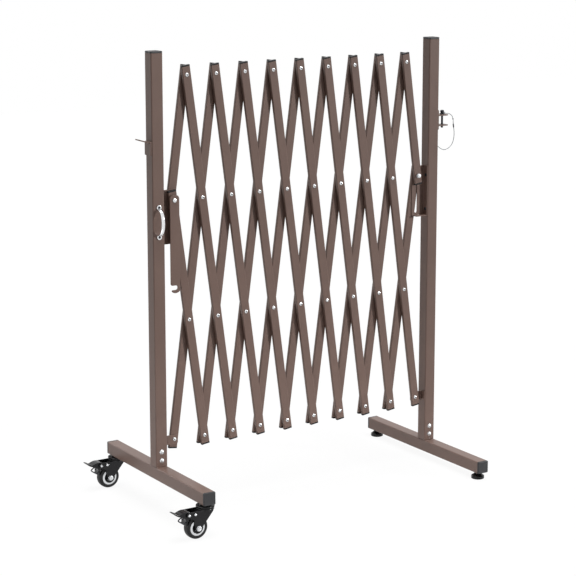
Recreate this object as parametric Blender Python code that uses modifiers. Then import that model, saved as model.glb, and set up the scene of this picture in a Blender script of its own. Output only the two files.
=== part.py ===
# Expandable safety barrier: a scissor lattice of flat tubes between two posts on T feet.
# The left end frame stands on braked casters and the right one on levelling feet.
# Metres, +Z up, +X from the left post to the right one, -Y towards the front.
# The origin is on the floor, under the middle of the whole barrier.

import bpy
import bmesh
from math import asin, ceil, cos, pi, radians, sin, sqrt
from mathutils import Matrix, Vector

MM = 0.001

# Stance
POST_SPACING = 723.5 * MM
OVERALL_HEIGHT = 1000 * MM
CASTER_HEIGHT = 72 * MM
PAD_HEIGHT = 16 * MM
TUBE_WIDTH = 28 * MM
TUBE_WALL = 1.5 * MM
TUBE_CORNER = 2.5 * MM
FOOT_LENGTH = 440 * MM
STUB_HEIGHT = 60 * MM
CASTER_INSET = 20 * MM
PAD_INSET = 20 * MM

# Fits
GAP = 0.3 * MM
WELD_LAP = 0.5 * MM
OVERRUN = 5 * MM

# Scissor lattice
CELLS = 9
BAR_PITCH = 267 * MM
BAR_WIDTH = 20 * MM
BAR_DEPTH = 7.5 * MM
BAR_WALL = 1 * MM
BAR_CORNER = 1.4 * MM
BAR_OVERHANG = 21 * MM
BAR_CAP_THICKNESS = 2.5 * MM
LAYER_GAP = 2.1 * MM
PIVOT_INSET = 25 * MM
LOWER_PIVOT_HEIGHT = 153 * MM

# Rivets and pivot bolts
RIVET_RADIUS = 2.5 * MM
RIVET_HEAD_RADIUS = 4 * MM
RIVET_HEAD_HEIGHT = 2.2 * MM
RIVET_SIDES = 8
BOLT_RADIUS = 3 * MM
BOLT_HEAD_RADIUS = 4.8 * MM
BOLT_HEAD_HEIGHT = 2.4 * MM
BOLT_COLLAR_RADIUS = 5 * MM
BOLT_NUT_RADIUS = 5.5 * MM
BOLT_NUT_HEIGHT = 4 * MM
BOLT_SIDES = 12

# Guide and pivot brackets
PLATE_THICKNESS = 1.5 * MM
WEB_THICKNESS = 2 * MM
WEB_DEPTH = 13.7 * MM
PLATE_REACH = 36.5 * MM
GUIDE_ABOVE_PIVOT = 22 * MM
GUIDE_BELOW_PIVOT = 95.5 * MM
LIP_DEPTH = 13 * MM
LIP_REACH = 31.4 * MM
LIP_THICKNESS = 2 * MM
SLOT_BELOW_PIVOT = 88 * MM
SLOT_END_CLEARANCE = 1 * MM
PIVOT_BRACKET_HEIGHT = 21 * MM
PIVOT_BRACKET_REACH = 33.5 * MM
BRACKET_CORNER = 4 * MM

# Hook bar
HOOK_WIDTH = 22.6 * MM
HOOK_THICKNESS = 2.5 * MM
HOOK_STANDOFF = 2.6 * MM
HOOK_REACH = 189.5 * MM
HOOK_NOTCH_HEIGHT = 9.8 * MM
HOOK_NECK = 6 * MM
HOOK_ARM_THICKNESS = 7 * MM
HOOK_TIP_SETBACK = 3.8 * MM
HOOK_CORNER = 7 * MM
HOOK_TOP_CORNER = 8.5 * MM

# Post and foot fasteners, plugs and the handle
PLUG_FLANGE = 4.5 * MM
PLUG_INSERT = 5.5 * MM
POST_CAP_FLANGE = 4 * MM
POST_CAP_INSERT = 12 * MM
SCREW_RADIUS = 2.5 * MM
SCREW_HEAD_RADIUS = 4.5 * MM
SCREW_HEAD_HEIGHT = 2.6 * MM
SCREW_LENGTH = 9 * MM
LOWER_SCREW_HEIGHT = 14.5 * MM
UPPER_SCREW_HEIGHT = 34 * MM
HANDLE_HEIGHT = 638.5 * MM
HANDLE_SPACING = 63.6 * MM
HANDLE_PROJECTION = 23 * MM
HANDLE_ROD_RADIUS = 3 * MM
HANDLE_PAD_RADIUS = 6.2 * MM
HANDLE_PAD_THICKNESS = 4 * MM

# Pin bracket, lock pin and lanyard, on the right post's outer face
PIN_LUG_TOP = 796 * MM
PIN_LUG_SPACING = 23.5 * MM
PIN_LUG_REACH = 32 * MM
PIN_LUG_WIDTH = 24 * MM
PIN_LUG_THICKNESS = 2.5 * MM
PIN_LUG_CORNER = 6 * MM
PIN_BASE_THICKNESS = 2.5 * MM
PIN_BASE_ABOVE = 12 * MM
PIN_BASE_BELOW = 8 * MM
PIN_DISTANCE = 20.6 * MM
PIN_RADIUS = 2.5 * MM
PIN_BALL_RADIUS = 2.9 * MM
PIN_COLLAR_RADIUS = 6 * MM
PIN_COLLAR_THICKNESS = 2 * MM
PIN_KNOB_RADIUS = 4.5 * MM
PIN_KNOB_HEIGHT = 8 * MM
LANYARD_RADIUS = 0.8 * MM
LANYARD_STEP = 4.6 * MM

# Coupling bracket, on the left post's outer face
TONGUE_TOP = 811 * MM
TONGUE_REACH = 26 * MM
TONGUE_WIDTH = 20 * MM
TONGUE_THICKNESS = 2.5 * MM
TONGUE_CORNER = 5 * MM
TONGUE_HOLE_RADIUS = 4.2 * MM
TONGUE_RISE = radians(17)
TONGUE_BASE_THICKNESS = 3 * MM
TONGUE_BASE_WIDTH = 26 * MM
TONGUE_BASE_HEIGHT = 30 * MM

# Casters, measured from the swivel axis
WHEEL_RADIUS = 25 * MM
WHEEL_WIDTH = 18 * MM
TYRE_BORE = 17 * MM
TYRE_SHOULDER = 2.5 * MM
TRAIL = 23.5 * MM
HUB_WIDTH = 14 * MM
HUB_RIM_INNER = 13.5 * MM
HUB_RIM_WIDTH = 17 * MM
HUB_BOSS_RADIUS = 7.5 * MM
AXLE_RADIUS = 4 * MM
AXLE_HEAD_RADIUS = 6.5 * MM
AXLE_HEAD_HEIGHT = 3.5 * MM
STEM_RADIUS = 5 * MM
STEM_HEIGHT = 18 * MM
RACE_RADIUS = 20 * MM
RACE_THICKNESS = 4 * MM
KINGPIN_RADIUS = 6 * MM
KINGPIN_FLANGE_RADIUS = 9 * MM
KINGPIN_FLANGE = 2.5 * MM
CROWN_RADIUS = 19 * MM
CROWN_THICKNESS = 4 * MM
FORK_INSIDE = 24 * MM
FORK_LEG = 2.5 * MM
FORK_BOSS_RADIUS = 8 * MM
FORK_LEG_BACK = (-33 * MM, 42.5 * MM)
PEDAL_TIP = 79 * MM
PEDAL_WIDTH = 22 * MM
PEDAL_PIVOT = (-45.5 * MM, 56.5 * MM)
PEDAL_BARREL = 3.2 * MM
FORK_RIVET = (-31 * MM, 56.5 * MM)
FORK_RIVET_RADIUS = 2 * MM
FORK_RIVET_HEAD = 3.3 * MM
FORK_RIVET_HEIGHT = 1.8 * MM

# Levelling feet
PAD_RADIUS = 15 * MM
PAD_RIM = 7 * MM
PAD_NECK_RADIUS = 8 * MM
PAD_STEM_RADIUS = 4 * MM
PAD_STEM_HEIGHT = 22 * MM

# Places worked out from the sizes above
left_post_x = (PEDAL_TIP - POST_SPACING - TUBE_WIDTH / 2 - PIN_LUG_REACH) / 2
right_post_x = left_post_x + POST_SPACING
left_foot_top = CASTER_HEIGHT + TUBE_WIDTH
right_foot_top = PAD_HEIGHT + TUBE_WIDTH
left_face_x = left_post_x + TUBE_WIDTH / 2
right_face_x = right_post_x - TUBE_WIDTH / 2
first_pivot_x = left_face_x + PIVOT_INSET
cell_width = (right_face_x - left_face_x - 2 * PIVOT_INSET) / CELLS
rest_angle = asin(cell_width / 2 / BAR_PITCH)
folded_angle = asin(HOOK_REACH / CELLS / 2 / BAR_PITCH)
row_drop = BAR_PITCH * cos(rest_angle)
bar_face = LAYER_GAP / 2 + BAR_DEPTH
socket_width = TUBE_WIDTH - 2 * (TUBE_WALL + GAP)
pin_x = right_post_x + TUBE_WIDTH / 2 + PIN_DISTANCE


def clear_scene():
    for item in list(bpy.data.objects):
        bpy.data.objects.remove(item, do_unlink=True)


def make_material(name, colour, roughness, metallic):
    made = bpy.data.materials.new(name)
    made.use_nodes = True
    shader = made.node_tree.nodes["Principled BSDF"]
    shader.inputs["Base Color"].default_value = (*colour, 1)
    shader.inputs["Roughness"].default_value = roughness
    shader.inputs["Metallic"].default_value = metallic
    return made


def evaluated_mesh(item):
    bpy.context.view_layer.update()
    graph = bpy.context.evaluated_depsgraph_get()
    return bpy.data.meshes.new_from_object(item.evaluated_get(graph))


def linked(name, data, place=Matrix()):
    item = bpy.data.objects.new(name, data)
    barrier.objects.link(item)
    item.matrix_world = place
    return item


def baked(item):
    # Swaps an object for a plain mesh of what it shows, with its loose caps welded.
    mesh = evaluated_mesh(item)
    name, place = item.name, item.matrix_world.copy()
    bpy.data.objects.remove(item, do_unlink=True)
    shape = bmesh.new()
    shape.from_mesh(mesh)
    bmesh.ops.remove_doubles(shape, verts=shape.verts, dist=GAP / 100)
    shape.to_mesh(mesh)
    shape.free()
    return linked(name, mesh, place)


def combined(target, tools, operation):
    # Applies one Boolean per tool to the target's mesh and removes the tools.
    for tool in tools:
        change = target.modifiers.new(operation, "BOOLEAN")
        change.operation = operation
        change.object = tool
    mesh = evaluated_mesh(target)
    target.modifiers.clear()
    target.data = mesh
    for tool in tools:
        bpy.data.objects.remove(tool, do_unlink=True)
    return target


def settled(item):
    # Moves an object's placing into its mesh, so that its origin is the frame's.
    item.data.transform(item.matrix_world)
    item.matrix_world = Matrix()
    return item


def block(low, high, name="block"):
    shape = bmesh.new()
    bmesh.ops.create_cube(shape, size=1)
    size = [b - a for a, b in zip(low, high)]
    bmesh.ops.scale(shape, verts=shape.verts, vec=size)
    middle = [(a + b) / 2 for a, b in zip(low, high)]
    bmesh.ops.translate(shape, verts=shape.verts, vec=middle)
    mesh = bpy.data.meshes.new(name)
    shape.to_mesh(mesh)
    shape.free()
    return linked(name, mesh)


# Extrusions are drawn in a plane and pushed out to both sides of it.
ALONG_Y = Matrix(((1, 0, 0, 0), (0, 0, -1, 0), (0, 1, 0, 0), (0, 0, 0, 1)))
ALONG_Z = Matrix()


def extruded(outlines, length, along, middle, name="extrusion"):
    curve = bpy.data.curves.new(name, "CURVE")
    curve.dimensions = "2D"
    curve.fill_mode = "BOTH"
    curve.extrude = length / 2
    for outline in outlines:
        spline = curve.splines.new("POLY")
        spline.points.add(len(outline) - 1)
        for point, (u, v) in zip(spline.points, outline):
            point.co = (u, v, 0, 1)
        spline.use_cyclic_u = True
    item = linked(name, curve, Matrix.Translation(middle) @ along)
    return settled(baked(item))


def turned(profile, steps, along, middle, name="turning"):
    # The profile runs from the top of the axis down its outer side to the bottom.
    mesh = bpy.data.meshes.new(name)
    edges = [(i, i + 1) for i in range(len(profile) - 1)]
    mesh.from_pydata([(r, 0, h) for r, h in profile], edges, [])
    item = linked(name, mesh, Matrix.Translation(middle) @ along)
    screw = item.modifiers.new("turn", "SCREW")
    screw.steps = steps
    screw.render_steps = steps
    screw.use_merge_vertices = True
    screw.merge_threshold = GAP / 100
    return settled(baked(item))


def ring(profile, steps, along, middle, name="ring"):
    return turned([*profile, profile[0]], steps, along, middle, name)


def rod(radius, sides, length, along, middle):
    half = length / 2
    return turned([(0, half), (radius, half), (radius, -half), (0, -half)], sides, along, middle)


def tube_path(points, radius, name):
    curve = bpy.data.curves.new(name, "CURVE")
    curve.dimensions = "3D"
    curve.bevel_depth = radius
    curve.bevel_resolution = 2
    curve.use_fill_caps = True
    spline = curve.splines.new("POLY")
    spline.points.add(len(points) - 1)
    for point, place in zip(spline.points, points):
        point.co = (*place, 1)
    return linked(name, curve)


def arc(centre, radius, start, end, steps):
    turns = [start + (end - start) * i / steps for i in range(steps + 1)]
    return [(centre[0] + radius * cos(t), centre[1] + radius * sin(t)) for t in turns]


def circle(centre, radius, sides):
    return arc(centre, radius, 0, 2 * pi, sides)[:-1]


def rounded_box(low, high, corner, steps=2):
    (x0, y0), (x1, y1) = low, high
    outline = arc((x1 - corner, y1 - corner), corner, 0, pi / 2, steps)
    outline += arc((x0 + corner, y1 - corner), corner, pi / 2, pi, steps)
    outline += arc((x0 + corner, y0 + corner), corner, pi, 3 * pi / 2, steps)
    outline += arc((x1 - corner, y0 + corner), corner, 3 * pi / 2, 2 * pi, steps)
    return outline


def square(width, corner):
    return rounded_box((-width / 2, -width / 2), (width / 2, width / 2), corner)


def free_hole(radius, sides):
    # A hole with flat sides that clears a round shank by the gap all round.
    return (radius + GAP) / cos(pi / sides)


def finish(item, name, look, axis=None):
    # Names a piece, gives it its material and hangs it on its joint's empty, if it moves.
    item.name = name
    item.data.name = name
    item.data.materials.clear()
    item.data.materials.append(look)
    if item.type == "MESH":
        item.data.shade_smooth()
        item.data.set_sharp_from_angle(angle=SMOOTH_ANGLE)
    if axis is not None:
        place = item.matrix_world.copy()
        item.parent = axis
        item.matrix_parent_inverse = Matrix()
        item.matrix_basis = axis.matrix_world.inverted() @ place
    return item


def joint_axis(name, place):
    empty = bpy.data.objects.new(name + "_axis", None)
    barrier.objects.link(empty)
    empty.empty_display_size = JOINT_MARK
    empty.matrix_world = Matrix.Translation(place)
    bpy.context.view_layer.update()
    return empty


SMOOTH_ANGLE = radians(35)
JOINT_MARK = 20 * MM


def pivot(row, column):
    # Rows run 1 to 4 from the top, and columns are counted in cells from the first upper crossing.
    x = first_pivot_x + (column + 0.5) * cell_width
    return Vector((x, 0, LOWER_PIVOT_HEIGHT + (4 - row) * row_drop))


def rivet(front, back, name="rivet"):
    # A dome-head rivet along Y, given by the faces that its head and its tail bear on.
    dome = RIVET_HEAD_RADIUS * DOME_SHARE
    rise = RIVET_HEAD_HEIGHT * DOME_SHARE
    profile = [
        (0, back + RIVET_HEAD_HEIGHT),
        (dome, back + rise),
        (RIVET_HEAD_RADIUS, back),
        (RIVET_RADIUS, back),
        (RIVET_RADIUS, front),
        (RIVET_HEAD_RADIUS, front),
        (dome, front - rise),
        (0, front - RIVET_HEAD_HEIGHT),
    ]
    return turned(profile, RIVET_SIDES, AXIS_TO_Y, (0, 0, 0), name)


# Turns a profile's axis from Z to Y, so that what was its top is at the back.
AXIS_TO_Y = Matrix(((-1, 0, 0, 0), (0, 0, 1, 0), (0, 1, 0, 0), (0, 0, 0, 1)))
DOME_SHARE = 0.72


def bar_mesh(name, layer, fittings):
    # A tube hanging down from its top pivot, which is its origin, with one fitting at each pivot.
    side = -1 if layer == "front" else 1
    span = (len(fittings) - 1) * BAR_PITCH
    length = span + 2 * (BAR_OVERHANG - BAR_CAP_THICKNESS)
    half_width, half_depth = BAR_WIDTH / 2, BAR_DEPTH / 2
    outer = rounded_box((-half_width, -half_depth), (half_width, half_depth), BAR_CORNER)
    inner = [
        (u * (half_width - BAR_WALL), v * (half_depth - BAR_WALL))
        for u, v in ((1, 1), (-1, 1), (-1, -1), (1, -1))
    ]
    middle = (0, side * (LAYER_GAP + BAR_DEPTH) / 2, -span / 2)
    bar = extruded([outer, inner], length, ALONG_Z, middle)
    holes, rivets = [], []
    for i, fitting in enumerate(fittings):
        if fitting in FITTING_HOLES:
            radius, sides = FITTING_HOLES[fitting]
            depth = 2 * (bar_face + OVERRUN)
            tool = rod(free_hole(radius, sides), sides, depth, AXIS_TO_Y, (0, 0, 0))
            holes.append(tool)
        else:
            tool = rivet(*FITTING_RIVETS[fitting])
            rivets.append(tool)
        tool.data.transform(Matrix.Translation((0, 0, -i * BAR_PITCH)))
    combined(bar, holes, "DIFFERENCE")
    combined(bar, rivets, "UNION")
    mesh = bar.data
    mesh.name = name
    bpy.data.objects.remove(bar, do_unlink=True)
    return mesh


FITTING_HOLES = {
    "rivet hole": (RIVET_RADIUS, RIVET_SIDES),
    "bolt hole": (BOLT_RADIUS, BOLT_SIDES),
}
# The faces that each rivet's head and tail bear on. Its bar holds it at the one that it is sunk in.
FITTING_RIVETS = {
    "rivet": (WELD_LAP - bar_face, bar_face + GAP),
    "rivet in front plate": (WELD_LAP - bar_face, PLATE_THICKNESS / 2 + GAP),
    "rivet in back plate": (-PLATE_THICKNESS / 2 - GAP, bar_face - WELD_LAP),
}


def make_lattice():
    # Front bars lean down to the right and rear bars down to the left. Both are numbered from the left.
    front_full = bar_mesh("front_full_bar", "front", ["rivet"] * 4)
    rear_full = bar_mesh("rear_full_bar", "rear", ["rivet hole"] * 4)
    special = {
        ("front", 1): ["bolt hole", "rivet", "rivet"],
        ("front", 9): ["rivet", "rivet", "rivet", "rivet in front plate"],
        ("front", 10): ["rivet", "bolt hole"],
        ("rear", 1): ["rivet hole", "bolt hole"],
        ("rear", 2): ["rivet hole", "rivet hole", "rivet hole", "rivet in back plate"],
        ("rear", 10): ["bolt hole", "rivet hole", "rivet hole"],
    }
    # Each bar turns about one of its crossings: (row, column) of the crossing that carries it.
    joints = {
        ("rear", 2): (4, -0.5), ("front", 3): (1, 1), ("rear", 5): (4, 2.5),
        ("front", 6): (1, 4), ("rear", 8): (4, 5.5), ("front", 9): (1, 7),
        ("front", 1): (3, 0), ("front", 2): (2, 0.5), ("rear", 1): (1, 0),
        ("rear", 3): (2, 1.5), ("rear", 4): (3, 2), ("front", 4): (3, 3),
        ("front", 5): (2, 3.5), ("rear", 6): (2, 4.5), ("rear", 7): (3, 5),
        ("front", 7): (3, 6), ("front", 8): (2, 6.5), ("rear", 9): (2, 7.5),
        ("rear", 10): (3, 8), ("front", 10): (1, 8),
    }
    for layer, first_row_of, full, lean in (
        ("front", {1: (2, -0.5)}, front_full, -rest_angle),
        ("rear", {10: (2, CELLS - 0.5)}, rear_full, rest_angle),
    ):
        for number in range(1, CELLS + 2):
            fittings = special.get((layer, number))
            mesh = bar_mesh(f"{layer}_bar_{number}", layer, fittings) if fittings else full
            column = number - 2 if layer == "front" else number - 1
            row, column = first_row_of.get(number, (1, column))
            place = Matrix.Translation(pivot(row, column)) @ Matrix.Rotation(lean, 4, "Y")
            name = f"{layer}_bar_{number}"
            bar = linked(name, mesh, place)
            bpy.context.view_layer.update()
            finish(bar, name, coat, joint_axis(name, pivot(*joints[layer, number])))


def make_pivot_bolts():
    # Each carries a collar and a head with room for the hook bar between them, and a nut behind.
    collar_front = -bar_face - HOOK_STANDOFF + GAP
    head = -bar_face - HOOK_STANDOFF - HOOK_THICKNESS - GAP
    nut = bar_face + GAP
    profile = [
        (0, nut + BOLT_NUT_HEIGHT),
        (BOLT_NUT_RADIUS, nut + BOLT_NUT_HEIGHT),
        (BOLT_NUT_RADIUS, nut),
        (BOLT_RADIUS, nut),
        (BOLT_RADIUS, -bar_face - GAP),
        (BOLT_COLLAR_RADIUS, -bar_face - GAP),
        (BOLT_COLLAR_RADIUS, collar_front),
        (BOLT_RADIUS, collar_front),
        (BOLT_RADIUS, head),
        (BOLT_HEAD_RADIUS, head),
        (BOLT_HEAD_RADIUS * DOME_SHARE, head - BOLT_HEAD_HEIGHT * DOME_SHARE),
        (0, head - BOLT_HEAD_HEIGHT),
    ]
    for side, column in (("left", -0.5), ("right", CELLS - 0.5)):
        name = f"{side}_pivot_bolt"
        bolt = turned(profile, BOLT_SIDES, AXIS_TO_Y, pivot(2, column))
        finish(bolt, name, steel, joint_axis(name, pivot(2, column)))


def make_brackets():
    # Drawn for the left post, from the middle of its inner face. The right ones are turned half round.
    half_plate = PLATE_THICKNESS / 2
    slot_half = free_hole(BOLT_RADIUS, BOLT_SIDES)
    rise = 2 * BAR_PITCH * (cos(folded_angle) - cos(rest_angle))
    slot_top = rise + SLOT_END_CLEARANCE
    slot_bottom = slot_half - SLOT_BELOW_PIVOT
    slot = arc((PIVOT_INSET, slot_top), slot_half, 0, pi, SLOT_STEPS)
    slot += arc((PIVOT_INSET, slot_bottom), slot_half, pi, 2 * pi, SLOT_STEPS)
    for side, face_x, turn, columns in (
        ("left", left_face_x, 0, -0.5),
        ("right", right_face_x, pi, CELLS - 0.5),
    ):
        face = Matrix.Rotation(turn, 4, "Z")
        face.translation = (face_x, 0, 0)

        low = (GAP, -GUIDE_BELOW_PIVOT)
        high = (PLATE_REACH, GUIDE_ABOVE_PIVOT)
        outline = rounded_box(low, high, BRACKET_CORNER)
        plate = extruded([outline, slot], PLATE_THICKNESS, ALONG_Y, (0, 0, 0))
        web = block(
            (GAP, -half_plate, -GUIDE_BELOW_PIVOT),
            (GAP + WEB_THICKNESS, WEB_DEPTH, GUIDE_ABOVE_PIVOT),
        )
        lip = block(
            (GAP + WEB_THICKNESS / 2, -half_plate / 2, -GUIDE_BELOW_PIVOT),
            (LIP_REACH, LIP_DEPTH, LIP_THICKNESS - GUIDE_BELOW_PIVOT),
        )
        guide = combined(web, [plate, lip], "UNION")
        guide.data.transform(Matrix.Translation((0, 0, pivot(2, 0).z)))
        guide.data.transform(face)
        finish(guide, f"{side}_guide_bracket", coat)

        half_height = PIVOT_BRACKET_HEIGHT / 2
        low = (GAP, -half_height)
        high = (PIVOT_BRACKET_REACH, half_height)
        hole = circle((PIVOT_INSET, 0), free_hole(RIVET_RADIUS, RIVET_SIDES), RIVET_SIDES)
        outline = rounded_box(low, high, BRACKET_CORNER)
        plate = extruded([outline, hole], PLATE_THICKNESS, ALONG_Y, (0, 0, 0))
        web = block(
            (GAP, -half_plate, -half_height), (GAP + WEB_THICKNESS, WEB_DEPTH, half_height)
        )
        bracket = combined(web, [plate], "UNION")
        bracket.data.transform(Matrix.Translation((0, 0, LOWER_PIVOT_HEIGHT)))
        bracket.data.transform(face)
        finish(bracket, f"{side}_pivot_bracket", coat)


SLOT_STEPS = 6


def make_hook_bar():
    # A flat bar hanging from the left pivot bolt, with a notch open to the left near its end.
    half = HOOK_WIDTH / 2
    notch = HOOK_NOTCH_HEIGHT / 2
    notch_top = notch - HOOK_REACH
    notch_low = -notch - HOOK_REACH
    end = notch_low - HOOK_ARM_THICKNESS
    notch_x = half - HOOK_NECK - notch
    shoulder = half - HOOK_TOP_CORNER
    outline = arc((shoulder, shoulder), HOOK_TOP_CORNER, 0, pi / 2, HOOK_STEPS)
    outline += arc((-shoulder, shoulder), HOOK_TOP_CORNER, pi / 2, pi, HOOK_STEPS)
    outline += [(-half, notch_top)]
    outline += arc((notch_x, -HOOK_REACH), notch, pi / 2, -pi / 2, HOOK_STEPS)
    outline += [(HOOK_TIP_SETBACK - half, notch_low)]
    outline += arc(
        (HOOK_TIP_SETBACK - half + HOOK_ARM_THICKNESS / 2, end + HOOK_ARM_THICKNESS / 2),
        HOOK_ARM_THICKNESS / 2, pi, 3 * pi / 2, 2,
    )
    outline += arc((half - HOOK_CORNER, end + HOOK_CORNER), HOOK_CORNER, -pi / 2, 0, 3)
    hole = circle((0, 0), free_hole(BOLT_RADIUS, BOLT_SIDES), BOLT_SIDES)
    middle = pivot(2, -0.5)
    middle.y = -bar_face - HOOK_STANDOFF - HOOK_THICKNESS / 2
    hook = extruded([outline, hole], HOOK_THICKNESS, ALONG_Y, middle)
    finish(hook, "hook_bar", coat, joint_axis("hook_bar", pivot(2, -0.5)))


HOOK_STEPS = 4


def make_posts():
    outer = square(TUBE_WIDTH, TUBE_CORNER)
    inner = square(TUBE_WIDTH - 2 * TUBE_WALL, TUBE_CORNER - TUBE_WALL)
    insert = square(socket_width, TUBE_CORNER - TUBE_WALL)
    for side, x, foot_top in (
        ("left", left_post_x, left_foot_top),
        ("right", right_post_x, right_foot_top),
    ):
        low = foot_top + GAP
        high = OVERALL_HEIGHT - POST_CAP_FLANGE - GAP
        post = extruded([outer, inner], high - low, ALONG_Z, (x, 0, (low + high) / 2))
        screws = [foot_top + height for height in (LOWER_SCREW_HEIGHT, UPPER_SCREW_HEIGHT)]
        combined(post, [screw_hole(x, z) for z in screws], "DIFFERENCE")
        finish(post, f"{side}_post", coat)

        flange_low = OVERALL_HEIGHT - POST_CAP_FLANGE
        cap = extruded([outer], POST_CAP_FLANGE, ALONG_Z, (x, 0, flange_low + POST_CAP_FLANGE / 2))
        plug_length = POST_CAP_INSERT + WELD_LAP
        plug_z = flange_low + WELD_LAP - plug_length / 2
        plug = extruded([insert], plug_length, ALONG_Z, (x, 0, plug_z))
        finish(combined(cap, [plug], "UNION"), f"{side}_post_cap", plastic)

        for where, z in zip(("lower", "upper"), screws):
            place = (x, -TUBE_WIDTH / 2 - GAP, z)
            screw = turned(screw_profile(), RIVET_SIDES, AXIS_TO_Y, place)
            finish(screw, f"{side}_foot_screw_{where}", steel)


def screw_profile():
    dome = SCREW_HEAD_RADIUS * DOME_SHARE
    return [
        (0, SCREW_LENGTH),
        (SCREW_RADIUS, SCREW_LENGTH),
        (SCREW_RADIUS, 0),
        (SCREW_HEAD_RADIUS, 0),
        (dome, -SCREW_HEAD_HEIGHT * DOME_SHARE),
        (0, -SCREW_HEAD_HEIGHT),
    ]


def screw_hole(x, z):
    # Cuts the front wall only.
    radius = free_hole(SCREW_RADIUS, RIVET_SIDES)
    return rod(radius, RIVET_SIDES, 2 * SCREW_LENGTH, AXIS_TO_Y, (x, -TUBE_WIDTH / 2, z))


def make_feet():
    outer = square(TUBE_WIDTH, TUBE_CORNER)
    inner = square(TUBE_WIDTH - 2 * TUBE_WALL, TUBE_CORNER - TUBE_WALL)
    insert = square(socket_width, TUBE_CORNER - TUBE_WALL)
    bore = square(socket_width - 2 * TUBE_WALL, TUBE_CORNER - TUBE_WALL)
    length = FOOT_LENGTH - 2 * (PLUG_FLANGE + GAP)
    for side, x, foot_top, inset, stem in (
        ("left", left_post_x, left_foot_top, CASTER_INSET, STEM_RADIUS),
        ("right", right_post_x, right_foot_top, PAD_INSET, PAD_STEM_RADIUS),
    ):
        middle = foot_top - TUBE_WIDTH / 2
        foot = extruded([outer, inner], length, ALONG_Y, (x, 0, middle))
        stub_length = STUB_HEIGHT + TUBE_WALL / 2
        stub_z = foot_top - TUBE_WALL / 2 + stub_length / 2
        stub = extruded([insert, bore], stub_length, ALONG_Z, (x, 0, stub_z))
        combined(foot, [stub], "UNION")
        screws = (LOWER_SCREW_HEIGHT, UPPER_SCREW_HEIGHT)
        cutters = [screw_hole(x, foot_top + height) for height in screws]
        for end in (-1, 1):
            y = end * (FOOT_LENGTH / 2 - inset)
            z = foot_top - TUBE_WIDTH
            radius = free_hole(stem, BOLT_SIDES)
            cutters.append(rod(radius, BOLT_SIDES, TUBE_WIDTH, ALONG_Z, (x, y, z)))
        combined(foot, cutters, "DIFFERENCE")
        finish(foot, f"{side}_foot", coat)

        for where, end in (("front", -1), ("rear", 1)):
            y = end * (FOOT_LENGTH - PLUG_FLANGE) / 2
            flange = extruded([outer], PLUG_FLANGE, ALONG_Y, (x, y, middle))
            plug_length = PLUG_INSERT + WELD_LAP
            y = end * (FOOT_LENGTH / 2 - PLUG_FLANGE + WELD_LAP - plug_length / 2)
            plug = extruded([insert], plug_length, ALONG_Y, (x, y, middle))
            finish(combined(flange, [plug], "UNION"), f"{side}_foot_plug_{where}", plastic)


def make_handle():
    front = -TUBE_WIDTH / 2 - GAP
    depth = HANDLE_PROJECTION - HANDLE_ROD_RADIUS
    points = []
    for i in range(HANDLE_STEPS + 1):
        turn = pi * i / HANDLE_STEPS
        y = front - HANDLE_ROD_RADIUS / 2 - (depth - HANDLE_ROD_RADIUS / 2) * sin(turn)
        z = HANDLE_HEIGHT + HANDLE_SPACING / 2 * cos(turn)
        points.append((left_post_x, y, z))
    bow = baked(tube_path(points, HANDLE_ROD_RADIUS, "bow"))
    pads = []
    for end in (-1, 1):
        z = HANDLE_HEIGHT + end * HANDLE_SPACING / 2
        middle = (left_post_x, front - HANDLE_PAD_THICKNESS / 2, z)
        pads.append(rod(HANDLE_PAD_RADIUS, BOLT_SIDES, HANDLE_PAD_THICKNESS, AXIS_TO_Y, middle))
    finish(combined(bow, pads, "UNION"), "handle", chrome)


HANDLE_STEPS = 12


def lug_outline(low_x, reach, width, corner):
    # Square where it joins its base and rounded at its free end.
    half = width / 2
    outline = [(low_x, half), (low_x, -half)]
    outline += arc((reach - corner, corner - half), corner, -pi / 2, 0, 3)
    outline += arc((reach - corner, half - corner), corner, 0, pi / 2, 3)
    return outline


def make_pin_bracket():
    face = right_post_x + TUBE_WIDTH / 2
    upper_top = PIN_LUG_TOP + PIN_LUG_SPACING
    base = block(
        (face + GAP, -PIN_LUG_WIDTH / 2, PIN_LUG_TOP - PIN_LUG_THICKNESS - PIN_BASE_BELOW),
        (face + GAP + PIN_BASE_THICKNESS, PIN_LUG_WIDTH / 2, upper_top + PIN_BASE_ABOVE),
    )
    root = GAP + PIN_BASE_THICKNESS / 2
    outline = lug_outline(root, PIN_LUG_REACH, PIN_LUG_WIDTH - GAP, PIN_LUG_CORNER)
    hole = circle((PIN_DISTANCE, 0), free_hole(PIN_BALL_RADIUS, BOLT_SIDES), BOLT_SIDES)
    middles = [(face, 0, top - PIN_LUG_THICKNESS / 2) for top in (PIN_LUG_TOP, upper_top)]
    lugs = [extruded([outline, hole], PIN_LUG_THICKNESS, ALONG_Z, middle) for middle in middles]
    finish(combined(base, lugs, "UNION"), "pin_bracket", coat)


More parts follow.
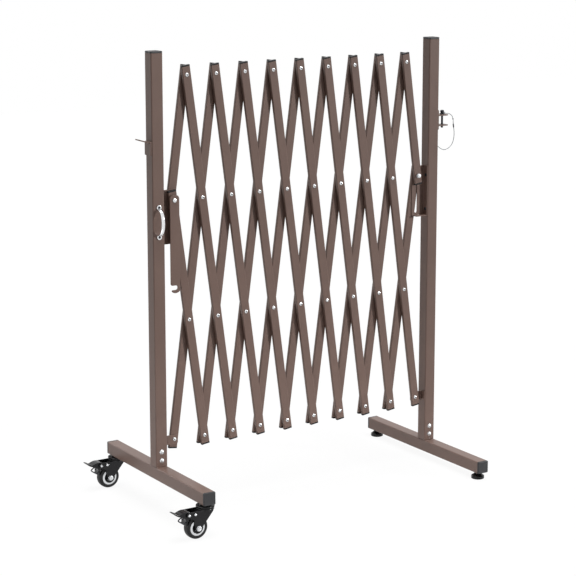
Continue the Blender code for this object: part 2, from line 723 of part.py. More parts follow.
def make_lock_pin():
    seat = PIN_LUG_TOP + PIN_LUG_SPACING + GAP
    collar = seat + PIN_COLLAR_THICKNESS
    ball = PIN_LUG_TOP - PIN_LUG_THICKNESS - PIN_BALL_RADIUS
    profile = [(0, collar + PIN_KNOB_HEIGHT)]
    profile += [(PIN_KNOB_RADIUS * KNOB_TOP_SHARE, collar + PIN_KNOB_HEIGHT)]
    profile += [(PIN_KNOB_RADIUS, collar + PIN_KNOB_HEIGHT * KNOB_TOP_SHARE)]
    profile += [(PIN_KNOB_RADIUS, collar), (PIN_COLLAR_RADIUS, collar), (PIN_COLLAR_RADIUS, seat)]
    profile += [(PIN_RADIUS, seat), (PIN_RADIUS, ball + PIN_BALL_RADIUS)]
    profile += [(PIN_BALL_RADIUS, ball)]
    profile += [(PIN_RADIUS * DOME_SHARE, ball - PIN_BALL_RADIUS * DOME_SHARE)]
    profile += [(0, ball - PIN_BALL_RADIUS)]
    pin = turned(profile, BOLT_SIDES, ALONG_Z, (pin_x, 0, 0))
    finish(pin, "lock_pin", plastic, joint_axis("lock_pin", (pin_x, 0, seat)))


KNOB_TOP_SHARE = 0.8


def smooth_route(points, step):
    # A smooth curve through the points, read off at an even step.
    points = [Vector(point) for point in points]
    ends = [2 * points[0] - points[1], *points, 2 * points[-1] - points[-2]]
    fine = [points[0]]
    for a, b, c, d in zip(ends, ends[1:], ends[2:], ends[3:]):
        for i in range(1, ROUTE_FINENESS + 1):
            t = i / ROUTE_FINENESS
            bend = (2 * a - 5 * b + 4 * c - d) * t * t + (3 * b - a - 3 * c + d) * t * t * t
            fine.append(b + ((c - a) * t + bend) / 2)
    lengths = [(q - p).length for p, q in zip(fine, fine[1:])]
    count = ceil(sum(lengths) / step)
    route, walked, k = [fine[0]], 0, 0
    for i in range(1, count):
        goal = sum(lengths) * i / count
        while walked + lengths[k] < goal:
            walked += lengths[k]
            k += 1
        route.append(fine[k].lerp(fine[k + 1], (goal - walked) / lengths[k]))
    print(f"route of {sum(lengths) / MM:.1f} mm")
    return [*route, fine[-1]]


ROUTE_FINENESS = 24
# The lanyard's places, from the right post's outer face and the floor.
LANYARD_PLACES = (
    (27.0 * MM, 820.9 * MM), (32.0 * MM, 820.9 * MM), (38.5 * MM, 820.0 * MM),
    (45.0 * MM, 817.6 * MM), (50.0 * MM, 813.2 * MM), (52.8 * MM, 806.0 * MM),
    (53.6 * MM, 798.0 * MM), (54.3 * MM, 790.5 * MM), (56.0 * MM, 781.0 * MM),
    (56.7 * MM, 771.5 * MM), (55.8 * MM, 761.0 * MM), (52.6 * MM, 751.0 * MM),
    (47.6 * MM, 744.2 * MM), (41.6 * MM, 739.6 * MM), (35.2 * MM, 736.8 * MM),
    (29.0 * MM, 735.8 * MM), (22.6 * MM, 737.0 * MM), (16.4 * MM, 740.2 * MM),
    (10.4 * MM, 744.8 * MM), (5.2 * MM, 748.0 * MM), (0.3 * MM, 748.6 * MM),
)


def make_lanyard():
    face = right_post_x + TUBE_WIDTH / 2
    route = smooth_route([(face + x, 0, z) for x, z in LANYARD_PLACES], LANYARD_STEP)
    finish(tube_path(route, LANYARD_RADIUS, "lanyard"), "lanyard", steel)


def make_coupling_bracket():
    face = left_post_x - TUBE_WIDTH / 2
    outer = face - GAP - TONGUE_BASE_THICKNESS
    base = block(
        (outer, -TONGUE_BASE_WIDTH / 2, TONGUE_TOP - TONGUE_BASE_HEIGHT),
        (face - GAP, TONGUE_BASE_WIDTH / 2, TONGUE_TOP),
    )
    outline = lug_outline(-TONGUE_BASE_THICKNESS / 2, TONGUE_REACH, TONGUE_WIDTH, TONGUE_CORNER)
    middle = TONGUE_REACH * TONGUE_HOLE_SHARE
    hole = circle((middle, 0), TONGUE_HOLE_RADIUS, BOLT_SIDES)
    tongue = extruded([outline, hole], TONGUE_THICKNESS, ALONG_Z, (0, 0, -TONGUE_THICKNESS))
    tongue.data.transform(Matrix.Rotation(-TONGUE_RISE, 4, "Y"))
    tongue.data.transform(Matrix.Rotation(pi, 4, "Z"))
    tongue.data.transform(Matrix.Translation((outer, 0, TONGUE_TOP)))
    finish(combined(base, [tongue], "UNION"), "coupling_bracket", coat)


TONGUE_HOLE_SHARE = 0.58


def make_caster(where, y):
    x = left_post_x
    race_top = CASTER_HEIGHT - GAP
    race_low = race_top - RACE_THICKNESS
    crown_top = race_low - GAP
    crown_low = crown_top - CROWN_THICKNESS
    axle = Vector((x - TRAIL, y, WHEEL_RADIUS))
    swivel_axis = joint_axis(f"{where}_caster_swivel", (x, y, crown_top))
    wheel_axis = joint_axis(f"{where}_caster_wheel", axle)
    pedal_axis = joint_axis(f"{where}_caster_brake", (x + PEDAL_PIVOT[0], y, PEDAL_PIVOT[1]))

    head = [
        (0, CASTER_HEIGHT + STEM_HEIGHT), (STEM_RADIUS, CASTER_HEIGHT + STEM_HEIGHT),
        (STEM_RADIUS, race_top), (RACE_RADIUS, race_top), (RACE_RADIUS, race_low),
        (KINGPIN_RADIUS, race_low), (KINGPIN_RADIUS, crown_low - GAP),
        (KINGPIN_FLANGE_RADIUS, crown_low - GAP),
        (KINGPIN_FLANGE_RADIUS, crown_low - GAP - KINGPIN_FLANGE),
        (0, crown_low - GAP - KINGPIN_FLANGE),
    ]
    finish(turned(head, CASTER_SIDES, ALONG_Z, (x, y, 0)), f"{where}_caster_stem", plastic)

    finish(make_fork(x, y, crown_top), f"{where}_caster_fork", plastic, swivel_axis)

    half = WHEEL_WIDTH / 2
    tread = [
        (TYRE_BORE, half), (WHEEL_RADIUS - TYRE_SHOULDER, half),
        (WHEEL_RADIUS, half - TYRE_SHOULDER), (WHEEL_RADIUS, TYRE_SHOULDER - half),
        (WHEEL_RADIUS - TYRE_SHOULDER, -half), (TYRE_BORE, -half),
    ]
    finish(ring(tread, WHEEL_SIDES, AXIS_TO_Y, axle), f"{where}_caster_tyre", rubber, wheel_axis)

    rim = (TYRE_BORE - GAP) * cos(pi / WHEEL_SIDES)
    boss = FORK_INSIDE / 2 - GAP
    bore = free_hole(AXLE_RADIUS, WHEEL_SIDES)
    steps = [(bore, boss), (HUB_BOSS_RADIUS, boss), (HUB_BOSS_RADIUS, HUB_WIDTH / 2)]
    steps += [(HUB_RIM_INNER, HUB_WIDTH / 2), (HUB_RIM_INNER, HUB_RIM_WIDTH / 2)]
    steps += [(rim, HUB_RIM_WIDTH / 2)]
    hub = steps + [(radius, -height) for radius, height in reversed(steps)]
    finish(ring(hub, WHEEL_SIDES, AXIS_TO_Y, axle), f"{where}_caster_hub", plastic, wheel_axis)

    outside = FORK_INSIDE / 2 + FORK_LEG + GAP
    bolt = [
        (0, outside + AXLE_HEAD_HEIGHT), (AXLE_HEAD_RADIUS, outside + AXLE_HEAD_HEIGHT),
        (AXLE_HEAD_RADIUS, outside), (AXLE_RADIUS, outside), (AXLE_RADIUS, -outside),
        (AXLE_HEAD_RADIUS, -outside), (AXLE_HEAD_RADIUS, -outside - AXLE_HEAD_HEIGHT),
        (0, -outside - AXLE_HEAD_HEIGHT),
    ]
    finish(turned(bolt, BOLT_SIDES, AXIS_TO_Y, axle), f"{where}_caster_axle", steel, swivel_axis)

    finish(make_pedal(x, y), f"{where}_caster_brake_pedal", plastic, pedal_axis)


CASTER_SIDES = 16
WHEEL_SIDES = 20


def make_fork(x, y, crown_top):
    middle = (x, y, crown_top - CROWN_THICKNESS / 2)
    plate = circle((0, 0), CROWN_RADIUS, CASTER_SIDES)
    hole = circle((0, 0), free_hole(KINGPIN_RADIUS, BOLT_SIDES), BOLT_SIDES)
    fork = extruded([plate, hole], CROWN_THICKNESS, ALONG_Z, middle)
    leg_top = crown_top - CROWN_THICKNESS * LEG_TOP_SHARE
    half = sqrt(CROWN_RADIUS**2 - (FORK_INSIDE / 2 + FORK_LEG) ** 2) - GAP
    outline = [(half, leg_top), (half, leg_top - CROWN_THICKNESS)]
    outline += arc((-TRAIL, WHEEL_RADIUS), FORK_BOSS_RADIUS, 0, -pi, 6)
    outline += [FORK_LEG_BACK]
    outline += arc(PEDAL_PIVOT, leg_top - PEDAL_PIVOT[1], -pi / 2, -3 * pi / 2, 6)
    axle_hole = circle((-TRAIL, WHEEL_RADIUS), free_hole(AXLE_RADIUS, BOLT_SIDES), BOLT_SIDES)
    pivot_hole = circle(PEDAL_PIVOT, free_hole(FORK_RIVET_RADIUS, RIVET_SIDES), RIVET_SIDES)
    added = []
    for side in (-1, 1):
        leg_y = y + side * (FORK_INSIDE + FORK_LEG) / 2
        added.append(extruded([outline, axle_hole, pivot_hole], FORK_LEG, ALONG_Y, (x, leg_y, 0)))
        head = FORK_RIVET_HEIGHT + WELD_LAP
        head_y = y + side * (FORK_INSIDE / 2 + FORK_LEG - WELD_LAP + head / 2)
        place = (x + FORK_RIVET[0], head_y, FORK_RIVET[1])
        added.append(rod(FORK_RIVET_HEAD, RIVET_SIDES, head, AXIS_TO_Y, place))
    return combined(fork, added, "UNION")


LEG_TOP_SHARE = 0.4

# The brake pedal's side view, from the swivel axis and the floor: over its hump and out to the tip
# of its tongue, back along the lower face, and down and up round the brake shoe.
PEDAL_UPPER = (
    (-40.0 * MM, 54.0 * MM), (-39.4 * MM, 62.5 * MM), (-43.0 * MM, 67.2 * MM),
    (-49.0 * MM, 69.8 * MM), (-57.0 * MM, 69.6 * MM), (-63.0 * MM, 66.6 * MM),
    (-65.6 * MM, 62.4 * MM), (-68.0 * MM, 61.6 * MM), (-78.2 * MM, 67.6 * MM),
    (-PEDAL_TIP, 66.6 * MM),
)
PEDAL_LOWER = ((-78.4 * MM, 64.8 * MM), (-69.4 * MM, 58.6 * MM), (-61.0 * MM, 55.0 * MM))
SHOE_OUTER = (
    (-54.6 * MM, 48.6 * MM), (-51.6 * MM, 41.6 * MM),
    (-51.8 * MM, 37.6 * MM), (-53.2 * MM, 34.6 * MM),
)
SHOE_INNER = (
    (-51.4 * MM, 33.4 * MM), (-48.6 * MM, 36.6 * MM),
    (-48.0 * MM, 41.2 * MM), (-49.2 * MM, 47.0 * MM), (-43.4 * MM, 50.8 * MM),
)


def make_pedal(x, y):
    outline = [*PEDAL_UPPER, *PEDAL_LOWER, *SHOE_OUTER, *SHOE_INNER]
    pedal = extruded([outline], PEDAL_WIDTH, ALONG_Y, (x, y, 0))
    outside = FORK_INSIDE / 2 + FORK_LEG + GAP
    head = outside + FORK_RIVET_HEIGHT
    barrel = PEDAL_WIDTH / 2
    upper = [(0, head), (FORK_RIVET_HEAD, head), (FORK_RIVET_HEAD, outside)]
    upper += [(FORK_RIVET_RADIUS, outside), (FORK_RIVET_RADIUS, barrel), (PEDAL_BARREL, barrel)]
    profile = upper + [(radius, -height) for radius, height in reversed(upper)]
    place = (x + PEDAL_PIVOT[0], y, PEDAL_PIVOT[1])
    return combined(pedal, [turned(profile, RIVET_SIDES, AXIS_TO_Y, place)], "UNION")


def make_levelling_foot(where, y):
    neck = (PAD_HEIGHT + PAD_RIM) / 2
    top = PAD_HEIGHT - GAP
    profile = [
        (0, PAD_HEIGHT + PAD_STEM_HEIGHT), (PAD_STEM_RADIUS, PAD_HEIGHT + PAD_STEM_HEIGHT),
        (PAD_STEM_RADIUS, top), (PAD_NECK_RADIUS, top), (PAD_NECK_RADIUS, neck),
        (PAD_RADIUS, PAD_RIM), (PAD_RADIUS, 0), (0, 0),
    ]
    pad = turned(profile, CASTER_SIDES, ALONG_Z, (right_post_x, y, 0))
    name = f"{where}_levelling_foot"
    finish(pad, name, plastic, joint_axis(name, (right_post_x, y, top)))


clear_scene()
barrier = bpy.data.collections.new("expandable_safety_barrier")
bpy.context.scene.collection.children.link(barrier)
coat = make_material("brown_powder_coat", (0.17, 0.125, 0.105), 0.5, 0.0)
plastic = make_material("black_plastic", (0.02, 0.02, 0.022), 0.45, 0.0)
rubber = make_material("black_rubber", (0.015, 0.015, 0.016), 0.7, 0.0)
steel = make_material("zinc_plated_steel", (0.6, 0.6, 0.6), 0.3, 1.0)
chrome = make_material("chrome_plate", (0.75, 0.75, 0.75), 0.12, 1.0)
make_posts()
make_feet()
make_lattice()
make_pivot_bolts()
make_brackets()
make_hook_bar()
make_handle()
make_pin_bracket()
make_lock_pin()
make_lanyard()
make_coupling_bracket()
for where, end in (("front", -1), ("rear", 1)):
    make_caster(where, end * (FOOT_LENGTH / 2 - CASTER_INSET))
    make_levelling_foot(where, end * (FOOT_LENGTH / 2 - PAD_INSET))
bpy.context.view_layer.update()
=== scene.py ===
from math import asin, cos, pi, radians, sin

import bmesh
import bpy
from mathutils import Matrix, Vector


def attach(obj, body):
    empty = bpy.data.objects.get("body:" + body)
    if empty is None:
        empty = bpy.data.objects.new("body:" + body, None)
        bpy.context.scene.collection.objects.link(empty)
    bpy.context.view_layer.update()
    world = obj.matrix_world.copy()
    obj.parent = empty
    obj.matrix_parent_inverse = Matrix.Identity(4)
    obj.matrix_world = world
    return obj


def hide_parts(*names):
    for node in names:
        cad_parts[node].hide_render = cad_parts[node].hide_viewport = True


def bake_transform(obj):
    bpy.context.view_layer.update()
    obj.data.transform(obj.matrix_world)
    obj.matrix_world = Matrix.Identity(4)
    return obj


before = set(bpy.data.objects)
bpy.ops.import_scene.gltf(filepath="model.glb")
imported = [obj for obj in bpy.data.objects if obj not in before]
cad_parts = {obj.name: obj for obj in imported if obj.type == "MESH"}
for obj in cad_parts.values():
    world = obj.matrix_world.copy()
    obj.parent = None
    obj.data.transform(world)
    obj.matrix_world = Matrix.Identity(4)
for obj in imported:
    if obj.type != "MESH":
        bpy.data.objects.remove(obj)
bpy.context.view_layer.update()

mm = 0.001
scene = bpy.context.scene

# Tools for shapes, which are drawn in millimetres in the barrier's own frame and scaled at the end


def roundRect(width, height, corner, steps=5):
    points = []
    for quarter, (sx, sy) in enumerate(((1, 1), (-1, 1), (-1, -1), (1, -1))):
        for i in range(steps + 1):
            turn = pi / 2 * (quarter + i / steps)
            points.append((
                sx * (width / 2 - corner) + corner * cos(turn),
                sy * (height / 2 - corner) + corner * sin(turn),
            ))
    return points


def arc(centre, radius, start, end, steps):
    turns = [radians(start + (end - start) * i / steps) for i in range(steps + 1)]
    return [(centre[0] + radius * cos(t), centre[1] + radius * sin(t)) for t in turns]


def hole(centre, radius, steps=24):
    return arc(centre, radius, 360, 0, steps)[:-1]  # clockwise, the way a hole is drawn


def rounded(points, steps):
    # cuts the corners of an outline into curves, so that a few points make a smooth shape
    for _ in range(steps):
        cut = []
        for a, b in zip(points, points[1:] + points[:1]):
            cut += [tuple(p * 0.75 + q * 0.25 for p, q in zip(a, b))]
            cut += [tuple(p * 0.25 + q * 0.75 for p, q in zip(a, b))]
        points = cut
    return points


def at(x, y, z):
    return Matrix.Translation((x, y, z))


def toward(axis, origin):
    # stands a shape that was drawn up the Z axis along another one
    return at(*origin) @ Vector(axis).to_track_quat("Z", "X").to_matrix().to_4x4()


uprightPlane = Matrix(((1, 0, 0, 0), (0, 0, -1, 0), (0, 1, 0, 0), (0, 0, 0, 1)))


def loft(shape, rings, place=Matrix(), wrapped=False):
    # joins each ring of points to the next, and a ring of one point closes to a tip
    made = [[shape.verts.new(place @ Vector(point)) for point in ring] for ring in rings]
    following = made[1:] + ([made[0]] if wrapped else [])
    for a, b in zip(made, following):
        count = max(len(a), len(b))
        for i in range(count if count > 1 else 0):
            j = (i + 1) % count
            corners = [a[i % len(a)], a[j % len(a)], b[j % len(b)], b[i % len(b)]]
            shape.faces.new(dict.fromkeys(corners))
    if not wrapped:
        for ring in (made[0], made[-1]):
            if len(ring) > 2:
                shape.faces.new(ring)


def turnedRing(radius, height, steps, flats=0):
    if radius == 0:
        return [(0, 0, height)]
    points = []
    for i in range(steps):
        turn = 2 * pi * i / steps
        reach = radius / cos(turn % (2 * pi / flats) - pi / flats) if flats else radius
        points.append((reach * cos(turn), reach * sin(turn), height))
    return points


def lathe(shape, profile, place=Matrix(), steps=36, wrapped=False):
    # a profile point is (radius, height), or (half across flats, height, flats) on a nut or socket
    rings = [turnedRing(p[0], p[1], steps, *p[2:]) for p in profile]
    loft(shape, rings, place, wrapped)


def domed(radius, height, start, steps, base=0.0):
    # the profile of a dome from near its top down to its rim
    first = asin(start / radius)
    turns = [first + (pi / 2 - first) * i / steps for i in range(steps + 1)]
    return [(radius * sin(t), base + (height - base) * cos(t)) for t in turns]


def plate(shape, outline, holes, thickness, edge, place=Matrix()):
    # a flat blank with its edges rounded over, drawn as a filled curve
    curve = bpy.data.curves.new("blank", "CURVE")
    curve.dimensions = "2D"
    curve.fill_mode = "BOTH"
    curve.extrude = thickness / 2 - edge
    curve.bevel_depth = edge
    curve.bevel_resolution = 1
    curve.offset = -edge
    for path in (outline, *holes):
        spline = curve.splines.new("POLY")
        spline.points.add(len(path) - 1)
        for point, (u, v) in zip(spline.points, path):
            point.co = (u, v, 0, 1)
        spline.use_cyclic_u = True
    blank = bpy.data.objects.new("blank", curve)
    scene.collection.objects.link(blank)
    bpy.context.view_layer.update()
    graph = bpy.context.evaluated_depsgraph_get()
    mesh = bpy.data.meshes.new_from_object(blank.evaluated_get(graph))
    mesh.transform(place)
    shape.from_mesh(mesh)
    bpy.data.objects.remove(blank)
    bpy.data.meshes.remove(mesh)


def insetRing(tube, inset, corner, z):
    outline = roundRect(tube["width"] - 2 * inset, tube["depth"] - 2 * inset, corner)
    return [(x, y, z) for x, y in outline]


def hollow(shape, tube, low, high, place):
    # a rounded rectangular tube up the Z axis, its outer edges broken at both ends
    corner, wall, deburr = tube["corner"], tube["wall"], tube["deburr"]
    inner = max(corner - wall, 0.3)  # a drawn tube's inner corner is never quite sharp
    rings = (
        (0, corner, low + deburr), (0, corner, high - deburr),
        (deburr, corner - deburr, high), (wall, inner, high),
        (wall, inner, low), (deburr, corner - deburr, low),
    )
    loft(shape, [insetRing(tube, *ring) for ring in rings], place, wrapped=True)


# what all the tube plugs share: the barbs on the insert, its lead-in and the least corner
barb = {"pitch": 1.9, "rise": 0.3, "run": 1.6, "leadIn": 1.2, "corner": 0.35, "dishSlope": 0.5}


def plug(shape, tube, spec, place):
    # a moulded tube plug, its face up the Z axis: a rounded flange and a barbed insert below it
    edge, thick, fit = spec["edge"], spec["flange"], spec["insertInset"]
    steps = [(0, 0.05), (0, thick - edge)]
    steps += [
        (edge * (1 - cos(radians(a))), thick - edge + edge * sin(radians(a))) for a in (30, 60, 90)
    ]
    rim = edge + spec["dishInset"]
    steps += [(rim, thick), (rim + barb["dishSlope"], thick - spec["dish"])]
    insert = [(fit, 0), (fit, -spec["barbStart"])]
    z = -spec["barbStart"]
    while z > spec["barbStart"] - spec["insert"]:
        insert += [(fit - spec["barb"], z - barb["rise"]), (fit, z - barb["run"])]
        z -= barb["pitch"]
    insert += [(fit + barb["leadIn"], -spec["insert"])]
    loft(shape, [
        insetRing(tube, inset, max(tube["corner"] - inset, barb["corner"]), z)
        for inset, z in (*reversed(insert), *steps)
    ], place)


def sweep(shape, points, section, side):
    # carries a section along a path; side is the way that its first axis faces at the start
    points = [Vector(point) for point in points]
    last = len(points) - 1
    normal = Vector(side)
    rings = []
    for k, point in enumerate(points):
        ahead = (points[min(k + 1, last)] - points[max(k - 1, 0)]).normalized()
        normal = (normal - ahead * normal.dot(ahead)).normalized()
        across = ahead.cross(normal)
        rings.append([point + normal * u + across * v for u, v in section(k / last)])
    loft(shape, rings)


def oval(u, v, steps):
    return [(u * cos(2 * pi * i / steps), v * sin(2 * pi * i / steps)) for i in range(steps)]


def piece(name, shape, look, body, replaced=(), place=Matrix(), sharp=32):
    # welds a drawn shape, scales it to metres, gives it its finish and hangs it on its body
    weldWithin = 0.001
    bmesh.ops.remove_doubles(shape, verts=shape.verts, dist=weldWithin)
    bmesh.ops.recalc_face_normals(shape, faces=shape.faces)
    mesh = bpy.data.meshes.new(name)
    shape.to_mesh(mesh)
    shape.free()
    mesh.transform(Matrix.Scale(mm, 4) @ place)
    mesh.materials.append(look)
    mesh.shade_smooth()
    mesh.set_sharp_from_angle(angle=radians(sharp))
    made = bpy.data.objects.new(name, mesh)
    scene.collection.objects.link(made)
    # keeps the shading of the large faces flat, up to the rounds beside them
    even = made.modifiers.new("evenShading", "WEIGHTED_NORMAL")
    even.weight = 100
    even.keep_sharp = True
    if body:
        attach(made, body)
    if replaced:
        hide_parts(*replaced)
    return made


# Camera, at the photograph's viewing angle

cameraView = {
    "place": (-2.15685, -3.3535, 1.3109),
    "pitch": 10.3,
    "yaw": -32.6,
    "lens": 113.75,
    "shiftY": -0.1007,  # the photograph's lens was shifted, so its axis is above the middle
}
lensData = bpy.data.cameras.new("photoCamera")
lensData.lens = cameraView["lens"]
lensData.sensor_width = 36
lensData.shift_y = cameraView["shiftY"]
lensData.clip_end = 50
camera = bpy.data.objects.new("photoCamera", lensData)
camera.location = cameraView["place"]
camera.rotation_euler = (radians(90 - cameraView["pitch"]), 0, radians(cameraView["yaw"]))
scene.collection.objects.link(camera)
scene.camera = camera

# Materials


def linear(code):
    # sRGB hex to the linear colour that a shader takes
    parts = [int(code[i:i + 2], 16) / 255 for i in (1, 3, 5)]
    return [p / 12.92 if p <= 0.04045 else ((p + 0.055) / 1.055) ** 2.4 for p in parts] + [1]


def addNode(tree, kind, settings=None, links=None):
    node = tree.nodes.new("ShaderNode" + kind)
    for key, value in (settings or {}).items():
        if isinstance(key, str) and hasattr(node, key):
            setattr(node, key, value)
        else:
            node.inputs[key].default_value = value
    for key, socket in (links or {}).items():
        tree.links.new(socket, node.inputs[key])
    return node


def surface(name, slot, settings, colours, roughness, layers):
    # colours and roughness run from what the layers' low places show to what their high ones
    # do, and a layer is one thing that the surface shows: its size in mm, its share of colour
    # and of roughness, and its relief, which is a depth in mm
    made = bpy.data.materials.new(name)
    made.use_nodes = True
    made["slot"] = slot
    tree = made.node_tree
    tree.nodes.clear()
    place = addNode(tree, "TexCoord").outputs["Object"]
    mix, normal = {}, None
    for layer in layers:
        stretch = addNode(
            tree, "Mapping", {"Scale": layer.get("stretch", (1, 1, 1))},
            {"Vector": place},
        )
        value = addNode(
            tree, "TexNoise",
            {"Scale": 1 / (layer["size"] * mm), "Detail": layer.get("detail", 2.0)},
            {"Vector": stretch.outputs["Vector"]},
        ).outputs["Fac"]
        for which in ("tint", "rough"):
            share = layer.get(which)
            if not share:
                continue
            start = -share / 2 if which in mix else (1 - share) / 2
            part = addNode(
                tree, "Math", {"operation": "MULTIPLY_ADD", 1: share, 2: start}, {0: value},
            )
            if which in mix:
                part = addNode(
                    tree, "Math", {"operation": "ADD", "use_clamp": True},
                    {0: part.outputs[0], 1: mix[which]},
                )
            mix[which] = part.outputs[0]
        if layer.get("relief"):
            links = {"Height": value}
            if normal is not None:
                links["Normal"] = normal
            depth = {"Distance": layer["relief"] * mm, "Strength": 1.0}
            normal = addNode(tree, "Bump", depth, links).outputs["Normal"]
    mixed = addNode(
        tree, "Mix",
        {"data_type": "RGBA", 6: linear(colours[0]), 7: linear(colours[1])}, {0: mix["tint"]},
    )
    spread = addNode(
        tree, "MapRange", {"To Min": roughness[0], "To Max": roughness[1]},
        {"Value": mix["rough"]},
    )
    links = {"Base Color": mixed.outputs[2], "Roughness": spread.outputs["Result"]}
    if normal is not None:
        links["Normal"] = normal
    shader = addNode(tree, "BsdfPrincipled", settings, links)
    addNode(tree, "OutputMaterial", None, {"Surface": shader.outputs["BSDF"]})
    return made


# Polyester powder, sprayed and baked: a satin skin with orange peel, a faint metallic grain
# in the brown, and slow changes of film thickness. It gives soft wide highlights.
brownPowderCoat = surface(
    "brownPowderCoat", "coat",
    {
        "Metallic": 0.0, "IOR": 1.5, "Specular IOR Level": 0.14,
        "Coat Weight": 0.35, "Coat Roughness": 0.3,  # a grey sheen on what is seen edge on
    },
    ("#655048", "#7b655c"), (0.36, 0.52),
    [
        {"size": 240, "tint": 0.6},
        {"size": 70, "tint": 0.5, "rough": 0.5},
        {"size": 2.2, "rough": 0.4, "relief": 0.035, "detail": 1.5},
        # the real grain is about 0.1 mm, drawn at 0.8 so that it shows
        {"size": 0.8, "tint": 0.7},
    ],
)
# Injection-moulded nylon with a spark-eroded mould texture: dark bluish grey, even and half matt.
mouldedNylon = surface(
    "mouldedNylon", "plastic", {"Metallic": 0.0, "IOR": 1.53, "Specular IOR Level": 0.3},
    ("#252527", "#353538"), (0.38, 0.55),
    [
        {"size": 25, "tint": 0.5, "rough": 0.5, "stretch": (1, 1, 0.25)},
        # the mould's grain is 0.1 mm, drawn at 0.7
        {"size": 0.7, "tint": 0.3, "rough": 0.4, "relief": 0.02},
    ],
)
# Glass-filled nylon from a polished mould, as casters have: near black with a wet gloss.
glossNylon = surface(
    "glossNylon", "plastic", {"Metallic": 0.0, "IOR": 1.53, "Specular IOR Level": 0.25},
    ("#08080a", "#151517"), (0.16, 0.32),
    [
        {"size": 18, "tint": 0.6, "rough": 0.5},
        {"size": 1.4, "rough": 0.5, "relief": 0.012},
    ],
)
# Natural rubber tread, moulded and then scuffed by floors: black, dull, with a dusty bloom.
treadRubber = surface(
    "treadRubber", "rubber", {"Metallic": 0.0, "IOR": 1.52, "Specular IOR Level": 0.25},
    ("#0b0b0c", "#1d1c1c"), (0.34, 0.62),
    [
        {"size": 9, "tint": 0.7, "rough": 0.6},
        {"size": 0.9, "tint": 0.3, "relief": 0.03, "detail": 3.0},
    ],
)
# Bright zinc on steel, barrel plated: a slightly blue white metal with a fine tumbled haze.
zincPlate = surface(
    "zincPlate", "steel", {"Metallic": 1.0},
    ("#c3c6c9", "#e2e3e4"), (0.16, 0.34),
    [
        {"size": 6, "tint": 0.6, "rough": 0.6},
        {"size": 0.5, "rough": 0.4, "relief": 0.004},
    ],
)
# Nickel and chrome on a cast handle, buffed: a clear mirror, a little softened by finger marks.
buffedChrome = surface(
    "buffedChrome", "chrome", {"Metallic": 1.0},
    ("#d9dadc", "#ededee"), (0.05, 0.14),
    [
        {"size": 12, "tint": 0.5, "rough": 0.8},
        {"size": 1.5, "relief": 0.003, "detail": 1.0},
    ],
)
# Black oxide on machined steel: a dark blued skin with an oily sheen.
blackOxide = surface(
    "blackOxide", "plastic", {"Metallic": 0.9},
    ("#202124", "#37383c"), (0.28, 0.45),
    [
        {"size": 5, "tint": 0.6, "rough": 0.6},
        {"size": 0.6, "rough": 0.4, "relief": 0.004},
    ],
)
# Drawn stainless wire, laid up in strands: grey metal with the shine broken by each strand.
strandedStainless = surface(
    "strandedStainless", "steel", {"Metallic": 1.0},
    ("#4f5255", "#8b8e91"), (0.30, 0.46),
    [
        {"size": 4, "tint": 0.7, "rough": 0.6},
        {"size": 0.4, "rough": 0.4, "relief": 0.004, "detail": 1.0},
    ],
)
print("materials made")

# Lanyard: a stranded cable from the lock pin round to an eyelet in the right post

leftPostX, rightPostX = -345.25, 378.25
tubeWidth = 28  # of the posts and the feet
rightOuterFace = rightPostX + tubeWidth / 2
leftOuterFace = leftPostX - tubeWidth / 2
lanyard = {
    "radius": 0.8,
    "strands": 6,
    "strandDepth": 0.1,
    "layLength": 7.5,  # a 1.6 mm cable's strands go round once in 11 mm, drawn a little tighter
    "step": 0.5,
    # out from the right post's outer face and up from the floor
    "places": (
        (27.0, 820.9), (32.0, 820.9), (38.5, 820.0), (45.0, 817.6), (50.0, 813.2), (52.8, 806.0),
        (53.6, 798.0), (54.3, 790.5), (56.0, 781.0), (56.7, 771.5), (55.8, 761.0), (52.6, 751.0),
        (47.6, 744.2), (41.6, 739.6), (35.2, 736.8), (29.0, 735.8), (22.6, 737.0), (16.4, 740.2),
        (10.4, 744.8), (5.2, 748.0), (0.3, 748.6),
    ),
    # two places along the cable, out from the post and up from the floor; nothing in this script
    # reads them
    "bendFrom": (25.0, 740.0),
    "bendTo": (54.0, 775.0),
}


def smoothRoute(places, step):
    # a smooth curve through the places, read off at an even step
    places = [Vector((x + rightOuterFace, 0, z)) for x, z in places]
    ends = [2 * places[0] - places[1], *places, 2 * places[-1] - places[-2]]
    fine = [places[0]]
    for a, b, c, d in zip(ends, ends[1:], ends[2:], ends[3:]):
        for i in range(1, 25):
            t = i / 24
            bend = (2 * a - 5 * b + 4 * c - d) * t * t + (3 * b - a - 3 * c + d) * t * t * t
            fine.append(b + ((c - a) * t + bend) / 2)
    total = sum((q - p).length for p, q in zip(fine, fine[1:]))
    count = round(total / step)
    route, walked, k = [fine[0]], 0, 0
    for i in range(1, count):
        goal = total * i / count
        while walked + (fine[k + 1] - fine[k]).length < goal:
            walked += (fine[k + 1] - fine[k]).length
            k += 1
        run = (fine[k + 1] - fine[k]).length
        route.append(fine[k].lerp(fine[k + 1], (goal - walked) / run))
    return [*route, fine[-1]], total


def strandedSection(along):
    twist = 2 * pi * along * routeLength / lanyard["layLength"]
    points = []
    for i in range(24):
        turn = 2 * pi * i / 24
        wave = abs(sin(lanyard["strands"] * (turn - twist / lanyard["strands"]) / 2))
        reach = lanyard["radius"] - lanyard["strandDepth"] * (1 - wave)
        points.append((reach * cos(turn + twist), reach * sin(turn + twist)))
    return points


def followPin(hung):
    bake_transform(hung)
    return hung


route, routeLength = smoothRoute(lanyard["places"], lanyard["step"])
shape = bmesh.new()
sweep(shape, route, strandedSection, (0, 1, 0))
cable = followPin(piece("lanyardCable", shape, strandedStainless, None, ["lanyard"], sharp=50))


